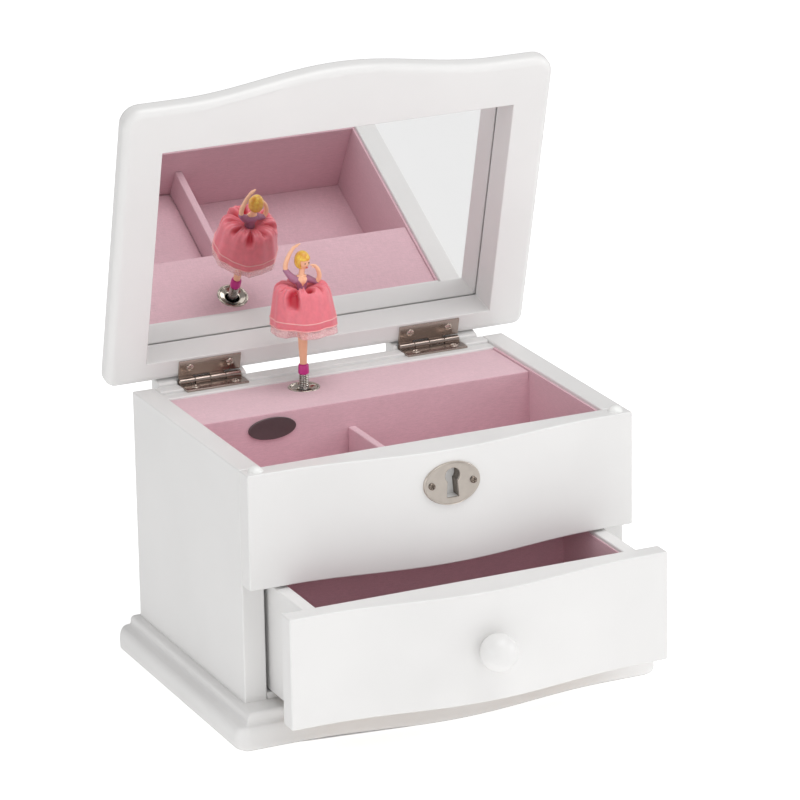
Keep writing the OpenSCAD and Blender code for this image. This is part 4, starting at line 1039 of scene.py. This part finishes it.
class MUSICBOX_OT_skirt(bpy.types.Operator):
    """Gather the satin skirt and the net under it"""

    bl_idname = "musicbox.skirt"
    bl_label = "Skirt"

    # (radius, height over the hem) of the cloth, in millimetres, from the waist down
    satin_line = ((2.0, 15.5), (3.3, 16.5), (5.2, 17.5), (7.4, 17.95), (9.0, 17.5), (10.1, 16.2),
                  (10.6, 14.4), (11.0, 11.8), (11.5, 8.8), (11.95, 6.1), (12.1, 4.6), (12.0, 3.0))
    net_line = ((9.3, 10.6), (10.4, 8.8), (11.1, 6.2), (11.7, 3.2), (12.05, 0.0))
    waist_up = 16.0  # height over the hem at which the cloth is gathered
    around_steps = 240  # corners round each ring of cloth
    fold_depth, ripple_depth, gather_depth = 0.3, 0.14, 0.2
    # how far the hem is lifted in front, waves up and down and leans to the side
    hem_lift, hem_wave, hem_lean = 0.35, 0.2, 0.75
    full_shade_depth = 1.6  # depth of a tuck at which its painted shade is darkest
    # (where round the skirt, half width, depth, first and last place down the cloth) of each tuck, in
    # radians and millimetres
    tucks = ((-2.26, 2.25, 3.0, 1.0, 15.0), (-1.55, 1.6, 2.2, 1.0, 8.6), (-1.0, 0.9, 1.0, 3.0, 9.5),
             (-0.35, 1.2, 1.4, 2.0, 9.0), (0.5, 1.5, 1.9, 1.5, 11.0), (1.3, 1.0, 1.2, 2.0, 8.5),
             (2.0, 1.5, 2.0, 1.5, 12.0), (2.75, 1.1, 1.4, 2.0, 9.5), (-2.85, 1.0, 0.9, 3.0, 9.0))
    # where round the skirt its hem is lifted, in radians, and each piping's height over the hem
    front = -1.95
    pipings = ("piping_low", 3.15), ("piping_high", 6.0)

    def execute(self, context):
        finishes = context.scene.music_box_finishes
        dancer = context.scene.music_box_dancer
        self.folds, self.gathers = dancer.folds, dancer.gathers
        self.hem = (corners("dancer_skirt")[0].z - dancer_place().z) / MM
        self.place = dancer_turn(dancer.facing)
        satin = satin_cloth(finishes)
        cloth = self.cone("skirt_satin", self.satin_line, 52, satin, ("dancer_skirt",))
        net = self.cone("skirt_net", self.net_line, 24, net_cloth(finishes))
        trim = moulded("piping", tone(247, 184, 182), rough=0.4)
        cords = [self.piping(name, height, trim) for name, height in self.pipings]
        for piece in (cloth, net, *cords):
            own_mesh(piece)
        return {"FINISHED"}

    def shape_at(self, around, radius, height, down, slope):
        """Where the cloth lies, that far down it, and how deep in a tuck it is, from 0 to 1, which sets the
        painted shade there.
        """
        up = clamped(height / self.waist_up)
        fold = math.sin(self.folds * around + 0.9 + 0.6 * math.sin(2 * around))
        ripple = math.sin((self.folds + 6) * around + 2.1 - 0.1 * height)
        gather = math.sin(self.gathers * around + 1.3 * math.sin(3 * around))
        wave = self.fold_depth * (1 - up) * fold + self.ripple_depth * ripple
        wave += self.gather_depth * up ** 3 * math.exp(-(down / 9) ** 4) * gather
        swell = wave * min(1.0, radius / 6.0)
        sunk = 0.0
        for centre, width, depth, first, last in self.tucks:
            away = math.remainder(around - centre, FULL_TURN) * radius
            along = (down - first) / (last - first)
            if 0 < along < 1 and abs(away) < 3 * width:
                broad = width * (0.22 + 0.78 * min(along * 1.45, 1) ** 1.5)
                floor = math.exp(-abs(away / broad) ** 3.2)
                lip = 0.22 * math.exp(-((abs(away) - 1.35 * broad) / (0.3 * broad)) ** 2)
                pull = depth * math.sin(math.pi * along ** 1.35) ** 0.6
                swell += (lip - floor) * pull
                sunk = max(sunk, floor * pull)
        size = radius + swell * slope[0]
        height += swell * slope[1]
        forward = max(0.0, math.cos(around - self.front)) ** 2
        lift = forward * self.hem_lift * max(0.0, 1 - height / 6.0)
        height += lift + self.hem_wave * math.sin(5 * around + 1) * (1 - up)
        lean = self.hem_lean * (1 - up)
        side = self.front + QUARTER_TURN
        place = Vector((size * math.cos(around) + lean * math.cos(side),
                        size * math.sin(around) + lean * math.sin(side), self.hem + height))
        return place, min(sunk / self.full_shade_depth, 1.0)

    @staticmethod
    def line_points(line, rows):
        """(radius, height, length so far, outward slope) along a profile."""
        path = smooth_path([(r, h, 0) for r, h in line], rows)
        down = 0.0
        points = []
        for i, at in enumerate(path):
            down += (at - path[i - 1]).length if i else 0
            heading = (path[min(i + 1, rows)] - path[max(i - 1, 0)]).normalized()
            points.append((at.x, at.y, down, (-heading.y, heading.x)))
        return points

    def cone(self, name, line, rows, finish, nodes=()):
        """A cone of cloth: a ring of edges extruded down the line, with its cut as UV map."""
        shape = bmesh.new()
        cut = shape.loops.layers.uv.new("cut")
        # the fold layer holds each vertex's share of painted shade in the tucks
        fold = shape.verts.layers.float.new("fold")
        ring = bmesh.ops.create_circle(shape, segments=self.around_steps, radius=1, cap_ends=False)["verts"]
        edges = edges_at(ring)
        places = {}
        for number, (radius, height, down, slope) in enumerate(self.line_points(line, rows)):
            if number:
                ring, edges = next_ring(shape, edges)
            row = {}
            for vert in ring:
                linked = (e.other_vert(vert) for e in vert.link_edges)
                above = next((v for v in linked if v in places), None)
                around = places[above][0] if above else math.atan2(vert.co.y, vert.co.x)
                vert.co, vert[fold] = self.shape_at(around, radius, height, down, slope)
                row[vert] = (around, down)
            places.update(row)
        mean_radius = 11 * MM
        for face in shape.faces:
            seam = any(places[v][0] > 2 for v in face.verts)
            for loop in face.loops:
                around, down = places[loop.vert]
                around += FULL_TURN if seam and around < 0 else 0
                loop[cut].uv = (around * mean_radius, down * MM)
        shape.transform(self.place)
        bmesh.ops.recalc_face_normals(shape, faces=shape.faces)
        thicken = ("SOLIDIFY", {"thickness": 0.16 * MM, "offset": -1.0})
        return finished(name, shape, finish, "dancer", nodes, smooth=80, modifiers=(thicken,))

    def piping(self, name, height, finish):
        """A raised cord that follows the satin's folds."""
        thick, proud = 0.2, 0.05
        points = self.line_points(self.satin_line, 80)
        radius, height, down, slope = min(points, key=lambda p: abs(p[1] - height))
        shape = bmesh.new()
        upright = Matrix.Rotation(QUARTER_TURN, 4, "X")
        section = bmesh.ops.create_circle(shape, segments=8, radius=thick, matrix=upright)["verts"]
        bmesh.ops.spin(shape, geom=section + edges_at(section), cent=(-radius, 0, 0), axis=(0, 0, 1),
                       angle=FULL_TURN, steps=self.around_steps, use_merge=True)
        for vert in shape.verts:
            x, y = vert.co.x + radius, vert.co.y
            around = math.atan2(y, x)
            out = math.hypot(x, y) - radius + proud
            offset = Vector((math.cos(around) * out, math.sin(around) * out, vert.co.z))
            vert.co = self.shape_at(around, radius, height, down, slope)[0] + offset
        shape.transform(self.place)
        bmesh.ops.recalc_face_normals(shape, faces=shape.faces)
        return finished(name, shape, finish, "dancer")


# ---- Stage ----


class MUSICBOX_OT_stage(bpy.types.Operator):
    """Set up the floor, the lamps and the camera"""

    bl_idname = "musicbox.stage"
    bl_label = "Stage"

    def execute(self, context):
        stage = context.scene.music_box_stage
        context.scene.view_settings.view_transform = "Standard"
        self.sky(context.scene, stage.sky)
        self.floor()
        self.lamp("over", place=(0.2, -0.4, 1.5), size=1.2, watts=stage.over)
        self.lamp("right", place=(1.3, -0.6, 0.6), size=0.8, watts=stage.right)
        self.lamp("front", place=(-0.2, -1.6, 0.5), size=1.2, watts=stage.front)
        self.lamp("left", place=(-1.4, -0.5, 0.35), size=0.8, watts=stage.left)
        self.camera(context.scene, stage)
        return {"FINISHED"}

    @staticmethod
    def shown(finish):
        """1 for rays that show the background: from the camera and through clear things."""
        seen = finish.node("ShaderNodeLightPath", output="Is Camera Ray")
        through = finish.node("ShaderNodeLightPath", output="Is Transmission Ray")
        return seen.maths("MAXIMUM", seen, through)

    @staticmethod
    def sky(scene, strength):
        """An even light all round, which the camera sees as white."""
        world = bpy.data.worlds.new("studio")
        world.use_nodes = True
        scene.world = world
        nodes, links = world.node_tree.nodes, world.node_tree.links
        path = nodes.new("ShaderNodeLightPath")
        level = nodes.new("ShaderNodeMapRange")
        level.inputs["To Min"].default_value = strength
        level.inputs["To Max"].default_value = 1.0
        links.new(path.outputs["Is Camera Ray"], level.inputs["Value"])
        links.new(level.outputs[0], nodes["Background"].inputs["Strength"])
        nodes["Background"].inputs["Color"].default_value = (1, 1, 1, 1)

    def floor(self):
        """A wide pale floor that keeps the box's shadow and lifts to white where nothing shades it."""
        # how brightly it glows for every ray, for rays that show the background and for bounced light
        all_glow, shown_glow, bounced_glow = 0.05, 0.6, 0.42
        shape = bmesh.new()
        bmesh.ops.create_grid(shape, x_segments=1, y_segments=1, size=12)
        mesh = bpy.data.meshes.new("floor")
        shape.to_mesh(mesh)
        shape.free()
        floor = bpy.data.objects.new("floor", mesh)
        bpy.context.scene.collection.objects.link(floor)
        paper = Finish("floor_paper", {"Roughness": 1.0, "Specular IOR Level": 0.0})
        cloud = paper.noise(0.4, 2)
        paper.feed("Base Color", paper.mix(cloud, (0.83, 0.83, 0.83), (0.85, 0.85, 0.85)))
        bounced = paper.node("ShaderNodeLightPath", output="Is Diffuse Ray")
        strength = all_glow + self.shown(paper) * shown_glow + bounced * bounced_glow
        glow = paper.node("ShaderNodeEmission", None, {"Strength": strength})
        both = paper.node("ShaderNodeAddShader", None, {0: Value(paper, paper.shader.outputs[0]), 1: glow})
        paper.tree.links.new(both.socket, paper.tree.nodes["Material Output"].inputs["Surface"])
        mesh.materials.append(paper.material)

    @staticmethod
    def lamp(name, place, size, watts):
        """A round lamp that points at the middle of the open box."""
        light = bpy.data.lights.new(name, "AREA")
        light.shape = "DISK"
        light.size = size
        light.energy = watts
        lamp = bpy.data.objects.new(name, light)
        box_middle = Vector((0, 0, 90 * MM))
        aim = box_middle - Vector(place)
        lamp.location = place
        lamp.rotation_euler = aim.to_track_quat("-Z", "Y").to_euler()
        bpy.context.scene.collection.objects.link(lamp)

    @staticmethod
    def camera(scene, stage):
        data = bpy.data.cameras.new("camera")
        data.sensor_width = 36
        data.lens = stage.focal
        data.clip_start = 0.05
        data.clip_end = 50
        camera = bpy.data.objects.new("camera", data)
        turn = (Matrix.Rotation(stage.azimuth, 4, "Z")
                @ Matrix.Rotation(QUARTER_TURN - stage.elevation, 4, "X")
                @ Matrix.Rotation(stage.roll, 4, "Z"))
        back = turn.to_3x3() @ Vector((0, 0, 1))
        camera.matrix_world = Matrix.Translation(Vector(stage.target) + back * stage.distance) @ turn
        scene.collection.objects.link(camera)
        scene.camera = camera


STEPS = (MUSICBOX_OT_woodwork, MUSICBOX_OT_linings, MUSICBOX_OT_fittings, MUSICBOX_OT_movement,
         MUSICBOX_OT_spring, MUSICBOX_OT_figure, MUSICBOX_OT_skirt, MUSICBOX_OT_stage)


class MUSICBOX_PT_panel(bpy.types.Panel):
    """Lists the steps that dress the music box"""

    bl_label = "Music Box"
    bl_space_type = "VIEW_3D"
    bl_region_type = "UI"
    bl_category = "Music Box"

    def draw(self, _context):
        for step in STEPS:
            self.layout.operator(step.bl_idname)


SETTINGS = {"music_box_finishes": MusicBoxFinishes, "music_box_dancer": MusicBoxDancer,
            "music_box_stage": MusicBoxStage}


def register():
    for group in (*SETTINGS.values(), *STEPS, MUSICBOX_PT_panel):
        bpy.utils.register_class(group)
    for name, group in SETTINGS.items():
        setattr(bpy.types.Scene, name, PointerProperty(type=group))


def unregister():
    for name in SETTINGS:
        delattr(bpy.types.Scene, name)
    for group in (MUSICBOX_PT_panel, *reversed(STEPS), *SETTINGS.values()):
        bpy.utils.unregister_class(group)


def main():
    register()
    for step in STEPS:
        family, name = step.bl_idname.split(".")
        getattr(getattr(bpy.ops, family), name)()


if __name__ == "__main__":
    main()
